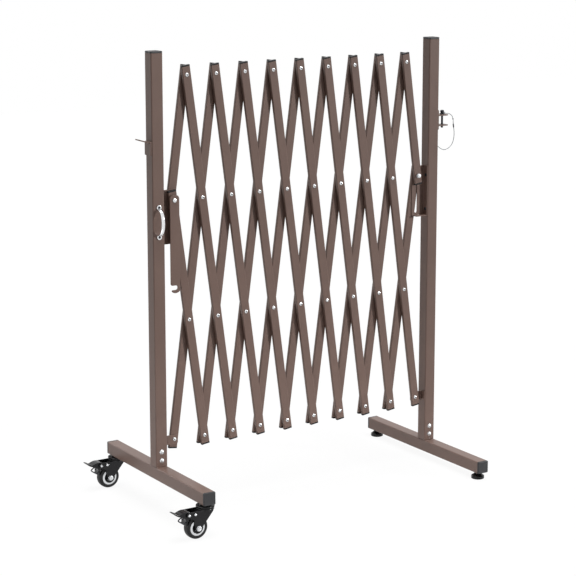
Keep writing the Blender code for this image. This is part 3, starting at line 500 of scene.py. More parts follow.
crimp = {
    "dent": 0.12, "dents": 3, "endFade": 0.72, "flat": 1.08,
    # from which share of the cable's length to which, and the radius
    "sleeve": (0.290, 0.355, 1.45),
    "ferrule": (0.205, 0.228, 1.3),
}


def crimpedTube(name, start, end, radius):
    points = route[round(start * len(route)):round(end * len(route))]
    shape = bmesh.new()

    def section(along):
        crush = radius * (1 - crimp["dent"] * sin(pi * along * crimp["dents"]) ** 2)
        fade = crimp["endFade"] if along in (0, 1) else 1
        return oval(crush * fade, radius * crimp["flat"] * fade, 20)

    sweep(shape, points, section, (0, 1, 0))
    return followPin(piece(name, shape, blackOxide, None))


crimpSleeve = crimpedTube("lanyardCrimpSleeve", *crimp["sleeve"])
cornerFerrule = crimpedTube("lanyardFerrule", *crimp["ferrule"])

shape = bmesh.new()
eyelet = [(0.95, 0), (3.3, 0), (3.3, 0.5), (2.9, 1.0), (2.0, 1.3), (1.2, 1.1), (0.95, 0.7)]
place = toward((1, 0, 0), (rightOuterFace, 0, lanyard["places"][-1][1]))
lathe(shape, eyelet, place, wrapped=True)
piece("lanyardEyelet", shape, blackOxide, "right_frame")
print(f"lanyard made, {routeLength:.1f} mm")

# Posts and feet: square tube, with a stub on each foot that the post slips over

postTube = {"width": tubeWidth, "depth": tubeWidth, "corner": 2.5, "wall": 1.5, "deburr": 0.3}
stubTube = {**postTube, "width": 24.4, "depth": 24.4, "corner": 1.2}
lengths = {
    "post": 995.7, "cap": 1000, "postGap": 0.3, "footHalf": 215.2, "plugReach": 220, "stub": 60,
    "stubSunk": 0.4,
}
frames = {
    "left": {"x": leftPostX, "footTop": 100},
    "right": {"x": rightPostX, "footTop": 44},
}
capPlug = {
    "edge": 1.2, "flange": 4, "insertInset": 2.2, "dishInset": 1.4, "dish": 0.25,
    "barbStart": 2.0, "barb": 0.35, "insert": 12,
}
footPlug = {**capPlug, "edge": 1.3, "flange": 4.5, "barbStart": 1.0, "insert": 5.5}
panScrew = {
    "radius": 4.5, "height": 2.6, "socket": 1.5, "socketDepth": 1.4, "washer": 5.2,
    "shank": 2.5, "length": 9, "point": 0.8, "rises": {"Lower": 14.5, "Upper": 34},
}


def buttonHead(shape, spec, place):
    # a button head with a hexagon socket, on a thin washer
    socket, height = spec["socket"], spec["height"]
    start = socket * 1.35
    profile = [
        (0, height - spec["socketDepth"]), (socket, height - spec["socketDepth"], 6),
        (socket, height - 0.12, 6),
        *domed(spec["radius"], height, start, 6, 0.7),
        (spec["radius"], 0.45), (0, 0.45),
    ]
    lathe(shape, profile, place)
    rim = spec["washer"]
    lathe(shape, [(0, 0.5), (rim - 0.15, 0.5), (rim, 0.35), (rim, 0), (0, 0)], place)


for side, spec in frames.items():
    x, footTop = spec["x"], spec["footTop"]
    body = f"{side}_frame"
    upright = at(x, 0, 0)
    shape = bmesh.new()
    hollow(shape, postTube, footTop + lengths["postGap"], lengths["post"], upright)
    piece(f"{side}Post", shape, brownPowderCoat, body, [f"{side}_post"])

    shape = bmesh.new()
    plug(shape, postTube, capPlug, at(x, 0, lengths["cap"] - capPlug["flange"]))
    piece(f"{side}PostCap", shape, mouldedNylon, body, [f"{side}_post_cap"])

    shape = bmesh.new()
    middle = footTop - tubeWidth / 2
    place = toward((0, 1, 0), (x, 0, middle))
    hollow(shape, postTube, -lengths["footHalf"], lengths["footHalf"], place)
    hollow(shape, stubTube, footTop - lengths["stubSunk"], footTop + lengths["stub"], upright)
    piece(f"{side}Foot", shape, brownPowderCoat, body, [f"{side}_foot"])

    for where, end in (("Front", -1), ("Rear", 1)):
        shape = bmesh.new()
        face = lengths["plugReach"] - footPlug["flange"]
        plug(shape, postTube, footPlug, toward((0, end, 0), (x, end * face, middle)))
        replaced = f"{side}_foot_plug_{where.lower()}"
        piece(f"{side}FootPlug{where}", shape, mouldedNylon, body, [replaced])

    for where, rise in panScrew["rises"].items():
        shape = bmesh.new()
        place = toward((0, -1, 0), (x, -tubeWidth / 2 - 0.05, footTop + rise))
        buttonHead(shape, panScrew, place)
        shank, length = panScrew["shank"], panScrew["length"]
        profile = [(0, 0.2), (shank, 0.2), (shank, panScrew["point"] - length)]
        lathe(shape, [*profile, (shank - 0.5, -length), (0, -length)], place)
        replaced = f"{side}_foot_screw_{where.lower()}"
        piece(f"{side}FootScrew{where}", shape, zincPlate, body, [replaced])
print("posts and feet made")

# Scissor lattice: two layers of flat tubes, riveted where they cross

lattice = {
    "cells": 9,
    "pitch": 267,
    "firstX": -306.25,
    "lastX": 339.25,
    "lowZ": 153,
    "overhang": 21,
    "layerGap": 2.1,
}
barTube = {"width": 20, "depth": 7.5, "corner": 1.4, "wall": 1.0, "deburr": 0.2}
barPlug = {
    "edge": 0.7, "flange": 3.3, "insertInset": 1.15, "dishInset": 0.8, "dish": 0.12,
    "barbStart": 1.0, "barb": 0.2, "insert": 7,
}
rivet = {
    "radius": 4.2, "height": 2.2, "shank": 2.4, "hole": 1.6, "holeDepth": 1.6, "mandrel": 1.45,
    "mandrelSunk": 0.35, "tailRadius": 3.9, "tailHeight": 2.2,
    "washer": 6.0, "washerHole": 2.7, "washerHalf": 0.95,
}
barFace = lattice["layerGap"] / 2 + barTube["depth"]
cellWidth = (lattice["lastX"] - lattice["firstX"]) / lattice["cells"]
restAngle = asin(cellWidth / 2 / lattice["pitch"])
rowDrop = lattice["pitch"] * cos(restAngle)


def crossing(row, column):
    # rows run 1 to 4 from the top, and columns are counted in cells from the first upper crossing
    x = lattice["firstX"] + (column + 0.5) * cellWidth
    return Vector((x, 0, lattice["lowZ"] + (4 - row) * rowDrop))


def addRivet(shape, mandrelsAndShade, z, front, back):
    # a blind rivet through both layers: a dome in front, with its mandrel's end sunk in it; the
    # mandrel is a real steel stub, and its dark finish also paints the shade in the rivet's hole
    place = toward((0, -1, 0), (0, 0, z))
    top, end = rivet["height"] - front, -back - rivet["tailHeight"]
    radius, shank, tail = rivet["radius"], rivet["shank"], rivet["tailRadius"]
    profile = [
        (0, top - rivet["holeDepth"]), (rivet["hole"], top - rivet["holeDepth"]),
        *[(r, h - front) for r, h in domed(radius, rivet["height"], rivet["hole"], 6, 0.25)],
        (radius, -front), (shank, -front), (shank, -back), (tail, -back), (tail, -back - 0.5),
        (tail * 0.8, -back - 1.5), (tail * 0.4, end), (0, end),
    ]
    lathe(shape, profile, place, 24)
    top, edge = top - rivet["mandrelSunk"], rivet["mandrel"]
    mandrel = [(0, top), (edge - 0.3, top), (edge, top - 0.3), (edge, top - 1.1), (0, top - 1.1)]
    lathe(mandrelsAndShade, mandrel, place, 16)


# what holds the bars that aren't riveted alike at every crossing
specialFittings = {
    ("front", 1): ("bolt", "rivet", "rivet"),
    ("front", 9): ("rivet", "rivet", "rivet", "front plate"),
    ("front", 10): ("rivet", "bolt"),
    ("rear", 1): ("", "bolt"),
    ("rear", 2): ("", "", "", "back plate"),
    ("rear", 10): ("bolt", "", ""),
}
for layer, lean, ordinary, ends in (
    ("front", -restAngle, ("rivet",) * 4, {1: (2, -0.5)}),
    ("rear", restAngle, ("",) * 4, {10: (2, lattice["cells"] - 0.5)}),
):
    away = -1 if layer == "front" else 1
    offset = away * (lattice["layerGap"] + barTube["depth"]) / 2
    for number in range(1, lattice["cells"] + 2):
        fittings = specialFittings.get((layer, number), ordinary)
        row, column = ends.get(number, (1, number - 2 if layer == "front" else number - 1))
        place = at(*crossing(row, column)) @ Matrix.Rotation(lean, 4, "Y")
        span = (len(fittings) - 1) * lattice["pitch"]
        reach = lattice["overhang"] - barPlug["flange"]
        body = f"{layer}_bar_{number}"

        shape = bmesh.new()
        hollow(shape, barTube, -span - reach, reach, at(0, offset, 0))
        piece(f"{layer}Bar{number}", shape, brownPowderCoat, body, [body], place)

        shape = bmesh.new()
        for direction, z in ((1, reach), (-1, -span - reach)):
            turned = Matrix.Rotation(pi * (1 - direction) / 2, 4, "X")
            plug(shape, barTube, barPlug, at(0, offset, z) @ turned)
        piece(f"{layer}BarCaps{number}", shape, glossNylon, body, place=place)

        rivets, mandrelsAndShade, washers = bmesh.new(), bmesh.new(), bmesh.new()
        for i, fitting in enumerate(fittings):
            z = -i * lattice["pitch"]
            if fitting == "rivet":
                addRivet(rivets, mandrelsAndShade, z, -barFace, barFace + 0.15)
                inner, outer, thick = rivet["washerHole"], rivet["washer"], rivet["washerHalf"]
                ring = [(inner, thick), (outer, thick), (outer, -thick), (inner, -thick)]
                lathe(washers, ring, toward((0, 1, 0), (0, 0, z)), 24, True)
            elif fitting == "front plate":
                addRivet(rivets, mandrelsAndShade, z, -barFace, rivet["washerHalf"] - 0.05)
            elif fitting == "back plate":
                addRivet(rivets, mandrelsAndShade, z, -rivet["washerHalf"], barFace)
        for made, name, look in (
            (rivets, "Rivets", zincPlate),
            # black oxide on the mandrels: partly their real darker steel, partly painted shade in
            # the rivets' holes
            (mandrelsAndShade, "MandrelsAndShade", blackOxide),
            (washers, "Washers", mouldedNylon),
        ):
            if made.verts:
                piece(f"{layer}Bar{name}{number}", made, look, body, place=place)
            else:
                made.free()
print("lattice made")

# Pivot bolts: a dome head, a collar that the hook bar clears, and a flanged nut behind

bolt = {
    "shank": 3.0, "collar": 5.0, "collarFront": 10.85, "headBack": 13.95, "head": 4.8,
    "headHeight": 2.4, "nutBack": 12.85, "nutFlats": 4.7, "flange": 5.6,
}
for side, column in (("left", -0.5), ("right", lattice["cells"] - 0.5)):
    shape = bmesh.new()
    place = toward((0, -1, 0), crossing(2, column))
    head, front, shank = bolt["head"], bolt["headBack"], bolt["shank"]
    collar, collarFront, back = bolt["collar"], bolt["collarFront"], bolt["nutBack"]
    profile = [
        (0, front + bolt["headHeight"]),
        *[(r, front + h) for r, h in domed(head, bolt["headHeight"], 0.9, 7, 0.4)],
        (head, front), (shank, front), (shank, collarFront),
        (collar - 0.3, collarFront), (collar, collarFront - 0.3), (collar, barFace + 0.6),
        (collar - 0.3, barFace + 0.3), (shank, barFace + 0.3),
        (shank, -back - 0.5), (shank - 0.6, -back - 1.1), (0, -back - 1.1),
    ]
    lathe(shape, profile, place)
    flats, flange = bolt["nutFlats"], bolt["flange"]
    nut = [
        (shank - 0.05, -back), (flats - 0.1, -back), (flats, 0.5 - back, 6),
        (flats, -barFace - 1.2, 6), (flats - 0.1, -barFace - 0.9), (flange, -barFace - 0.85),
        (flange, -barFace - 0.3), (shank - 0.05, -barFace - 0.3),
    ]
    lathe(shape, nut, place, wrapped=True)
    piece(f"{side}PivotBolt", shape, zincPlate, f"{side}_pivot_bolt", [f"{side}_pivot_bolt"])
print("pivot bolts made")

# Guide and pivot brackets: pressed steel, folded against the post

bracket = {
    "plate": 1.5, "web": 2.0, "webDepth": 13.7, "gap": 0.3, "bend": 2.4, "innerBend": 0.7,
    "corner": 4.0, "edge": 0.35, "overlap": (6, 7),
    "guideReach": 36.5, "guideTop": 22, "guideLow": -95.5,
    "lipStart": (1.3, -0.4), "lipReach": 31.4, "lipDepth": 13, "lipCorner": 3, "lip": 2,
    "slotHalf": 3.416, "slotTop": 5.42, "slotLow": -84.58, "screwOut": (2.3, 7.4),
    "screwHeights": (0, -80),
    "pivotInset": 25, "pivotReach": 33.5, "pivotHalf": 10.5, "pivotHole": 2.9,
}


def foldedStrip(shape, low, high, reach, holes, place):
    # a flat plate into the lattice, and a web folded from its edge against the post
    half, gap, bend, web = bracket["plate"] / 2, bracket["gap"], bracket["bend"], bracket["web"]
    inner, (edgeStart, foldStart) = bracket["innerBend"], bracket["overlap"]
    fold = [
        (foldStart, -half),
        *[(gap + bend + x, -half + bend + y) for x, y in arc((0, 0), bend, 270, 180, 5)],
        (gap, bracket["webDepth"] - 0.3), (gap + 0.3, bracket["webDepth"]),
        (gap + web - 0.3, bracket["webDepth"]), (gap + web, bracket["webDepth"] - 0.3),
        *[(gap + web + inner + x, half + inner + y) for x, y in arc((0, 0), inner, 180, 270, 4)],
        (foldStart, half),
    ]
    loft(shape, [[(x, y, z) for x, y in fold] for z in (low, high)], place)
    corner = bracket["corner"]
    outline = [
        (edgeStart, low), (reach - corner, low),
        *arc((reach - corner, low + corner), corner, -90, 0, 6),
        *arc((reach - corner, high - corner), corner, 0, 90, 6),
        (edgeStart, high),
    ]
    plate(shape, outline, holes, bracket["plate"], bracket["edge"], place @ uprightPlane)


bracketScrew = {"radius": 3.4, "height": 1.9, "socket": 1.2, "socketDepth": 0.9, "washer": 3.9}
for side, faceX, turn, column in (
    ("left", leftPostX + tubeWidth / 2, 0, -0.5),
    ("right", rightPostX - tubeWidth / 2, pi, lattice["cells"] - 0.5),
):
    body = f"{side}_frame"
    height = crossing(2, column).z
    place = at(faceX, 0, height) @ Matrix.Rotation(turn, 4, "Z")
    inset, half = bracket["pivotInset"], bracket["slotHalf"]
    slot = [
        *arc((inset, bracket["slotTop"]), half, 180, 0, 10),
        *arc((inset, bracket["slotLow"]), half, 0, -180, 10),
    ]
    shape = bmesh.new()
    low, lipReach, depth = bracket["guideLow"], bracket["lipReach"], bracket["lipDepth"]
    foldedStrip(shape, low, bracket["guideTop"], bracket["guideReach"], [slot], place)
    corner, (lipX, lipY) = bracket["lipCorner"], bracket["lipStart"]
    lipOutline = [
        (lipX, lipY), (lipReach - corner, lipY), (lipReach, 0), (lipReach, depth - corner),
        *arc((lipReach - corner, depth - corner), corner, 0, 90, 5), (lipX, depth),
    ]
    lipPlace = place @ at(0, 0, low + bracket["lip"] / 2)
    plate(shape, lipOutline, [], bracket["lip"], 0.4, lipPlace)
    piece(f"{side}GuideBracket", shape, brownPowderCoat, body, [f"{side}_guide_bracket"])

    screws = bmesh.new()
    for z in bracket["screwHeights"]:
        buttonHead(screws, bracketScrew, place @ toward((1, 0, 0), (*bracket["screwOut"], z)))
    piece(f"{side}GuideScrews", screws, blackOxide, body)

    shape = bmesh.new()
    lower = at(faceX, 0, lattice["lowZ"]) @ Matrix.Rotation(turn, 4, "Z")
    foldedStrip(
        shape, -bracket["pivotHalf"], bracket["pivotHalf"], bracket["pivotReach"],
        [hole((inset, 0), bracket["pivotHole"])], lower,
    )
    piece(f"{side}PivotBracket", shape, brownPowderCoat, body, [f"{side}_pivot_bracket"])
print("brackets made")

# Hook bar: hangs from the left pivot bolt, and its notch catches the right one

hook = {
    "width": 22.6, "thickness": 2.5, "middleY": -12.4, "reach": 189.5, "topCorner": 8.5,
    "notch": 9.8, "lipCorner": 4, "neck": 6, "arm": 7.6, "tipSetback": 3.8, "tipOverhang": 3.2,
    "edge": 0.5, "boltHole": 3.3,
}
half, notch = hook["width"] / 2, hook["notch"] / 2
upperLip, lowerLip = notch - hook["reach"], -notch - hook["reach"]
corner, lipCorner, tip = hook["topCorner"], hook["lipCorner"], hook["tipSetback"]
outline = [
    *arc((half - corner, half - corner), corner, 0, 90, 8),
    *arc((corner - half, half - corner), corner, 90, 180, 8),
    *arc((lipCorner - half, upperLip + lipCorner), lipCorner, 180, 270, 5),
    *arc((half - hook["neck"] - notch, -hook["reach"]), notch, 90, -90, 10),
    (tip - half, lowerLip), (tip - half - 1.1, lowerLip - 0.9),
]
# the arm's lower edge is half an oval, which leaves a pointed tip
armMiddle, armHalf = tip - hook["tipOverhang"], half - tip + hook["tipOverhang"]
for x, z in arc((0, 0), 1, -148, 0, 12):
    outline.append((armMiddle + x * armHalf, lowerLip + 0.5 + z * hook["arm"]))
place = crossing(2, -0.5)
place.y = hook["middleY"]
shape = bmesh.new()
plate(
    shape, outline, [hole((0, 0), hook["boltHole"])], hook["thickness"], hook["edge"],
    at(*place) @ uprightPlane,
)
piece("hookBar", shape, brownPowderCoat, "hook_bar", ["hook_bar"])
print("hook bar made")

# Handle: a cast bow between two screwed pads, on the left post's front

handle = {
    "middleZ": 638.5, "half": 31.8, "pad": 5.8, "padThick": 3.2, "padBore": 1.6,
    "projection": 20.0, "root": 1.7, "rod": 3.2, "bowHalf": 27.8, "steps": 40,
    "screw": 2.9, "shank": 1.5, "socket": 1.15,
}
frontFace = -tubeWidth / 2
shape = bmesh.new()
bow = []
for i in range(handle["steps"] + 1):
    turn = pi * i / handle["steps"]
    rise = handle["root"] + (handle["projection"] - handle["root"]) * max(sin(turn), 0) ** 0.8
    bow.append((leftPostX, frontFace - rise, handle["middleZ"] + handle["bowHalf"] * cos(turn)))


def bowSection(along):
    # a flattened oval, wider and thinner where it runs into the pads
    ends = abs(cos(pi * along)) ** 7
    wide, thick = handle["rod"] * (1.2 + 0.25 * ends), handle["rod"] * (0.9 - 0.4 * ends)
    return oval(wide, thick, 20)


sweep(shape, bow, bowSection, (1, 0, 0))
screws = bmesh.new()
pad, thick, padBore = handle["pad"], handle["padThick"], handle["padBore"]
bore, shank, socket = handle["screw"], handle["shank"], handle["socket"]
for side in (-1, 1):
    height = handle["middleZ"] + side * handle["half"]
    place = toward((0, -1, 0), (leftPostX, frontFace - 0.1, height))
    profile = [
        (padBore, 0), (pad, 0), (pad, thick - 1.3), (pad - 0.4, thick - 0.4),
        (pad - 1.3, thick), (bore + 0.55, thick), (bore + 0.25, thick - 0.25),
        (padBore, thick - 1.8),
    ]
    lathe(shape, profile, place, wrapped=True)
    profile = [
        (0, thick - 1.7), (socket, thick - 1.7, 6), (socket, thick - 0.65, 6),
        (shank, thick - 0.5), (bore - 0.1, thick - 0.5), (bore + 0.1, thick - 0.7),
        (shank, thick - 2.0), (shank, -6), (0, -6),
    ]
    lathe(screws, profile, place, 36)
piece("handle", shape, buffedChrome, "left_frame", ["handle"])
piece("handleScrews", screws, blackOxide, "left_frame")
print("handle made")

# Coupling bracket on the left post, and pin bracket with its lock pin on the right one

coupling = {
    "baseThick": 3, "baseWidth": 26, "top": 811, "baseHeight": 30, "gap": 0.3, "reach": 26,
    "width": 20, "thick": 2.5, "corner": 5, "rise": 17, "holeAt": 15.08, "hole": 4.2,
    "baseCorner": 2.5, "root": -1.2,
}
pinBracket = {
    "baseThick": 2.5, "baseWidth": 24, "low": 785.5, "high": 831.5, "lugTops": (796, 819.5),
    "thick": 2.5, "reach": 32, "width": 23.7, "corner": 6, "pinAt": 20.6, "hole": 3.2, "gap": 0.3,
    "baseCorner": 2.5, "root": 1.4,
}


def lug(start, reach, width, corner):
    half = width / 2
    return [
        (start, -half),
        *arc((reach - corner, corner - half), corner, -90, 0, 7),
        *arc((reach - corner, half - corner), corner, 0, 90, 7),
        (start, half),
    ]


facingLeft = toward((-1, 0, 0), (0, 0, 0))
shape = bmesh.new()
baseMiddle = leftOuterFace - coupling["gap"] - coupling["baseThick"] / 2
plate(
    shape, roundRect(coupling["baseHeight"], coupling["baseWidth"], coupling["baseCorner"]), [],
    coupling["baseThick"], 0.5,
    at(baseMiddle, 0, coupling["top"] - coupling["baseHeight"] / 2) @ facingLeft,
)
tonguePlace = (
    at(baseMiddle - coupling["baseThick"] / 2, 0, coupling["top"])
    @ Matrix.Rotation(pi, 4, "Z") @ Matrix.Rotation(radians(-coupling["rise"]), 4, "Y")
)
plate(
    shape, lug(coupling["root"], coupling["reach"], coupling["width"], coupling["corner"]),
    [hole((coupling["holeAt"], 0), coupling["hole"])], coupling["thick"], 0.45,
    tonguePlace @ at(0, 0, -coupling["thick"]),
)
piece("couplingBracket", shape, brownPowderCoat, "left_frame", ["coupling_bracket"])

shape = bmesh.new()
baseMiddle = rightOuterFace + pinBracket["gap"] + pinBracket["baseThick"] / 2
height = pinBracket["high"] - pinBracket["low"]
plate(
    shape, roundRect(height, pinBracket["baseWidth"], pinBracket["baseCorner"]), [],
    pinBracket["baseThick"], 0.45,
    at(baseMiddle, 0, pinBracket["low"] + height / 2) @ facingLeft,
)
outline = lug(pinBracket["root"], pinBracket["reach"], pinBracket["width"], pinBracket["corner"])
for top in pinBracket["lugTops"]:
    plate(
        shape, outline, [hole((pinBracket["pinAt"], 0), pinBracket["hole"])],
        pinBracket["thick"], 0.45,
        at(rightOuterFace, 0, top - pinBracket["thick"] / 2),
    )
piece("pinBracket", shape, brownPowderCoat, "right_frame", ["pin_bracket"])

pin = {
    "radius": 2.5, "ball": 2.9, "ballZ": 790.6, "neck": 1.9, "seat": 819.8, "collar": 6.0,
    "knob": 4.5, "waist": 3.6, "top": 829.8,
}
pinX = rightOuterFace + pinBracket["pinAt"]
seat, collar, knob, top = (pin[key] for key in ("seat", "collar", "knob", "top"))
waist, ball, ballZ = pin["waist"], pin["ball"], pin["ballZ"]
shape = bmesh.new()
profile = [
    (0, top), *[(r, top - 2.2 + h) for r, h in domed(knob, 2.2, 0.8, 7)],
    (knob, top - 4.2), (waist, top - 5.2), (waist, seat + 2.9), (knob, seat + 2.3),
    (collar - 0.4, seat + 2), (collar, seat + 1.6), (collar, seat + 0.4), (collar - 0.4, seat),
    (pin["radius"], seat), (pin["radius"], ballZ + 3.4), (pin["neck"], ballZ + 2.6),
    *[(ball * sin(radians(a)), ballZ + ball * cos(radians(a))) for a in range(45, 180, 15)],
    (0, ballZ - ball),
]
lathe(shape, profile, at(pinX, 0, 0), 28)
piece("lockPin", shape, blackOxide, "lock_pin", ["lock_pin"])

ringWire = {"radius": 0.8, "reach": 5.4, "shiftX": 1.6, "z": 824.2, "tilt": 6}
shape = bmesh.new()
wire = oval(ringWire["radius"], ringWire["radius"], 12)
profile = [(ringWire["reach"] + u, v) for u, v in wire]
place = at(pinX + ringWire["shiftX"], 0, ringWire["z"])
lathe(shape, profile, place @ Matrix.Rotation(radians(ringWire["tilt"]), 4, "Y"), 40, True)
piece("lockPinRing", shape, blackOxide, "lock_pin")
print("brackets for coupling made")

# Casters

caster = {
    "y": 200, "trail": 23.5, "wheel": 25, "width": 18, "bore": 17,
    "neckTop": 71.7, "neck": 13, "raceTop": 69.2, "race": 20, "crownTop": 63.9, "crown": 19,
    "crownBore": 6.3, "legInside": 12, "leg": 2.5, "boss": 8, "stemTop": 90, "kingPin": 6,
    "rivet": 3.0, "pedalWidth": 22, "hubGap": 0.3,
}
thread = {"crest": 5.0, "root": 4.6, "pitch": 1.2}
forkRivetPlace = (-31, 56.5)
pedalPivotPlace = (-45.5, 56.5)
# the tyre's side out to its tread, as radius and how far in from its face
tyreSide = [
    (17.6, 0), (20.2, 0), (20.5, 0.35), (21.0, 0.35), (21.3, 0.05), (22.3, 0.15), (23.3, 0.7),
    (24.1, 1.7), (24.6, 3.2), (24.85, 5.2),
]
# the hub's face, a dished web between its boss and the rim, as radius and how far out
hubFace = [
    (7.6, 7.2), (8.6, 6.2), (12.4, 6.2), (13.2, 6.8), (13.4, 8.2), (13.8, 8.6), (16.4, 8.6),
    (16.8, 8.2),
]
hubRib = {"count": 6, "firstAngle": 10, "at": 10.3, "out": 6.6, "size": (6.2, 1.6)}
trimBand = [
    (12.6, 7.4), (12.5, 9.4), (12.9, 9.8), (14.4, 9.7), (16.2, 9.3), (17.0, 8.8), (17.1, 8.2),
]
# the axle's washer and hexagon, out from the fork, which its head and its nut have alike
axleEnd = [
    (4.0, 0), (5.8, 0), (5.8, 0.4), (5.6, 0.6), (4.7, 0.6), (4.7, 0.7, 6), (4.7, 2.9, 6),
    (4.3, 3.3),
]
forkFace = caster["legInside"] + caster["leg"]
gripRidge = {"count": 3, "first": (-70.4, 61.2), "step": (-2.9, 1.5), "tilt": 27.5}
pedalOutline = [
    (-40.0, 54.0), (-39.4, 59.4), (-42.6, 62.6), (-49.0, 64.3), (-56.0, 63.7), (-62.0, 61.9),
    (-65.4, 60.2), (-68.0, 60.0), (-78.2, 65.3), (-79.0, 64.4), (-78.2, 62.2), (-69.4, 56.6),
    (-61.0, 54.2), (-54.0, 50.4), (-51.6, 45.4), (-51.4, 38.4), (-52.8, 34.8), (-51.4, 33.4),
    (-48.6, 36.6), (-48.0, 41.2), (-48.6, 47.0), (-43.4, 50.8),
]
spring = {"radius": 1.35, "y": -9.2}
springWire = [
    (-60.3, 47.8), (-58.0, 50.2), (-55.4, 53.8), (-57.4, 57.0), (-63.4, 53.6), (-68.8, 50.0),
    (-69.7, 48.6), (-68.4, 46.9), (-62.4, 42.6), (-57.4, 39.2), (-55.5, 38.9), (-53.8, 40.4),
    (-52.2, 43.0),
]


def addStem(where, low, foot):
    # stem, ball race and king pin, fixed to the foot
    top, race, neck, neckTop = (caster[key] for key in ("raceTop", "race", "neck", "neckTop"))
    crownTop, kingPin = caster["crownTop"], caster["kingPin"]
    crest, root, z = thread["crest"], thread["root"], caster["stemTop"] - 1.5
    profile = [(0, z + 1.5), (crest - 0.6, z + 1.5), (crest, z + 0.8)]
    while z > neckTop + 1.5:
        profile += [(root, z), (crest, z - thread["pitch"] / 2)]
        z -= thread["pitch"]
    nut = crownTop - 4.3
    profile += [
        (crest, neckTop), (neck - 0.5, neckTop), (neck, neckTop - 0.5), (neck, top),
        (race - 1.2, top), (race - 0.3, top - 0.5), (race, top - 1.3), (race, top - 2.3),
        (race - 0.8, top - 2.6), (race - 0.8, top - 3.1), (race - 0.1, top - 3.4),
        (race - 0.4, top - 4.6), (race - 1.2, crownTop + 0.3), (kingPin, crownTop + 0.3),
        (kingPin, nut), (kingPin + 2.6, nut), (kingPin + 3, nut - 0.4), (kingPin + 3, nut - 1.9),
        (kingPin + 2.4, nut - 2.5), (0, nut - 2.5),
    ]
    shape = bmesh.new()
    lathe(shape, profile, foot, 48)
    piece(f"caster{where}Stem", shape, glossNylon, "left_frame", [f"{low}_caster_stem"])


def addFork(where, low, foot, axle):
    # a round crown with two legs, its rivets, and the axle bolt with its washers and nut
    crownTop, crown, bore = (caster[key] for key in ("crownTop", "crown", "crownBore"))
    profile = [
        (bore, crownTop), (crown - 1.6, crownTop), (crown - 0.5, crownTop - 0.5),
        (crown, crownTop - 1.6), (crown, crownTop - 3.4), (crown - 0.6, crownTop - 4),
        (bore, crownTop - 4),
    ]
    shape = bmesh.new()
    lathe(shape, profile, foot, 48, True)
    legTop = crownTop - 1.4
    legOutline = [
        (12, legTop), (11.8, legTop - 4.5),
        *arc((-caster["trail"], caster["wheel"]), caster["boss"], 0, -180, 14),
        (-32.4, 38.0), (-34.5, 44.0), (-39.0, 47.0),
        *arc(pedalPivotPlace, legTop - pedalPivotPlace[1], -90, -270, 14),
    ]
    for side in (-1, 1):
        leg = foot @ at(0, side * (caster["legInside"] + caster["leg"] / 2), 0)
        plate(shape, legOutline[::-1], [], caster["leg"], 0.7, leg @ uprightPlane)
        # a raised washer face round the axle
        axleAt = (-caster["trail"], side * (forkFace - 0.1), caster["wheel"])
        place = foot @ toward((0, side, 0), axleAt)
        lathe(shape, [(7.2, 0), (7.2, 0.35), (6.9, 0.5), (0, 0.5), (0, 0)], place, 32)
    piece(f"caster{where}Fork", shape, glossNylon, f"{low}_fork", [f"{low}_caster_fork"])

    shape = bmesh.new()
    rivetX, rivetZ = forkRivetPlace
    radius = caster["rivet"]
    for side in (-1, 1):
        place = foot @ toward((0, side, 0), (rivetX, side * (forkFace - 0.1), rivetZ))
        dome = domed(radius, 1.9, 0.6, 6, 0.2)
        lathe(shape, [(0, 1.9), *dome, (radius, 0), (0, 0)], place, 24)
    piece(f"caster{where}ForkRivets", shape, zincPlate, f"{low}_fork")

    shape = bmesh.new()
    reach = forkFace + 0.4
    head = [*axleEnd, (2.9, 3.3), (2.2, 2.6), (0, 2.6)]
    nut = [*axleEnd, (2.7, 3.4), (2.7, 3.9), (2.2, 4.3), (0, 4.3)]
    lathe(shape, [
        *[(p[0], reach + p[1], *p[2:]) for p in reversed(head)],
        *[(p[0], -reach - p[1], *p[2:]) for p in nut],
    ], axle, 36)
    piece(f"caster{where}Axle", shape, zincPlate, f"{low}_fork", [f"{low}_caster_axle"])


def addWheel(where, low, axle):
    # tyre, with an arched tread and a moulded line round each side
    wheel, half = caster["wheel"], caster["width"] / 2
    side = [
        (caster["bore"], half - 0.5), *[(r, half - inward) for r, inward in tyreSide],
        (wheel, 1.2), (wheel, 0.35),
    ]
    shape = bmesh.new()
    mirrored = [(r, -h) for r, h in reversed(side)]
    lathe(shape, [*side, (wheel - 0.25, 0), *mirrored], axle, 64, True)
    piece(f"caster{where}Tyre", shape, treadRubber, f"{low}_wheel", [f"{low}_caster_tyre"])

    # hub: boss, dished web with lightening holes hinted by ribs, and rim
    shape = bmesh.new()
    boss = caster["legInside"] - caster["hubGap"]
    face = [(4.3, boss), (6.9, boss), (7.4, boss - 0.5), *hubFace]
    lathe(shape, face + [(r, -h) for r, h in reversed(face)], axle, 64, True)
    for k in range(hubRib["count"]):
        turn = radians(360 * k / hubRib["count"] + hubRib["firstAngle"])
        for end in (-1, 1):
            rib = axle @ Matrix.Rotation(turn, 4, "Z")
            rib = rib @ at(hubRib["at"], 0, end * hubRib["out"])
            plate(shape, roundRect(*hubRib["size"], 0.4, 2), [], 2.0, 0.3, rib)
    piece(f"caster{where}Hub", shape, glossNylon, f"{low}_wheel", [f"{low}_caster_hub"])

    shape = bmesh.new()
    for end in (-1, 1):
        lathe(shape, [(r, end * h) for r, h in trimBand], axle, 64, True)
    piece(f"caster{where}TrimRing", shape, zincPlate, f"{low}_wheel")


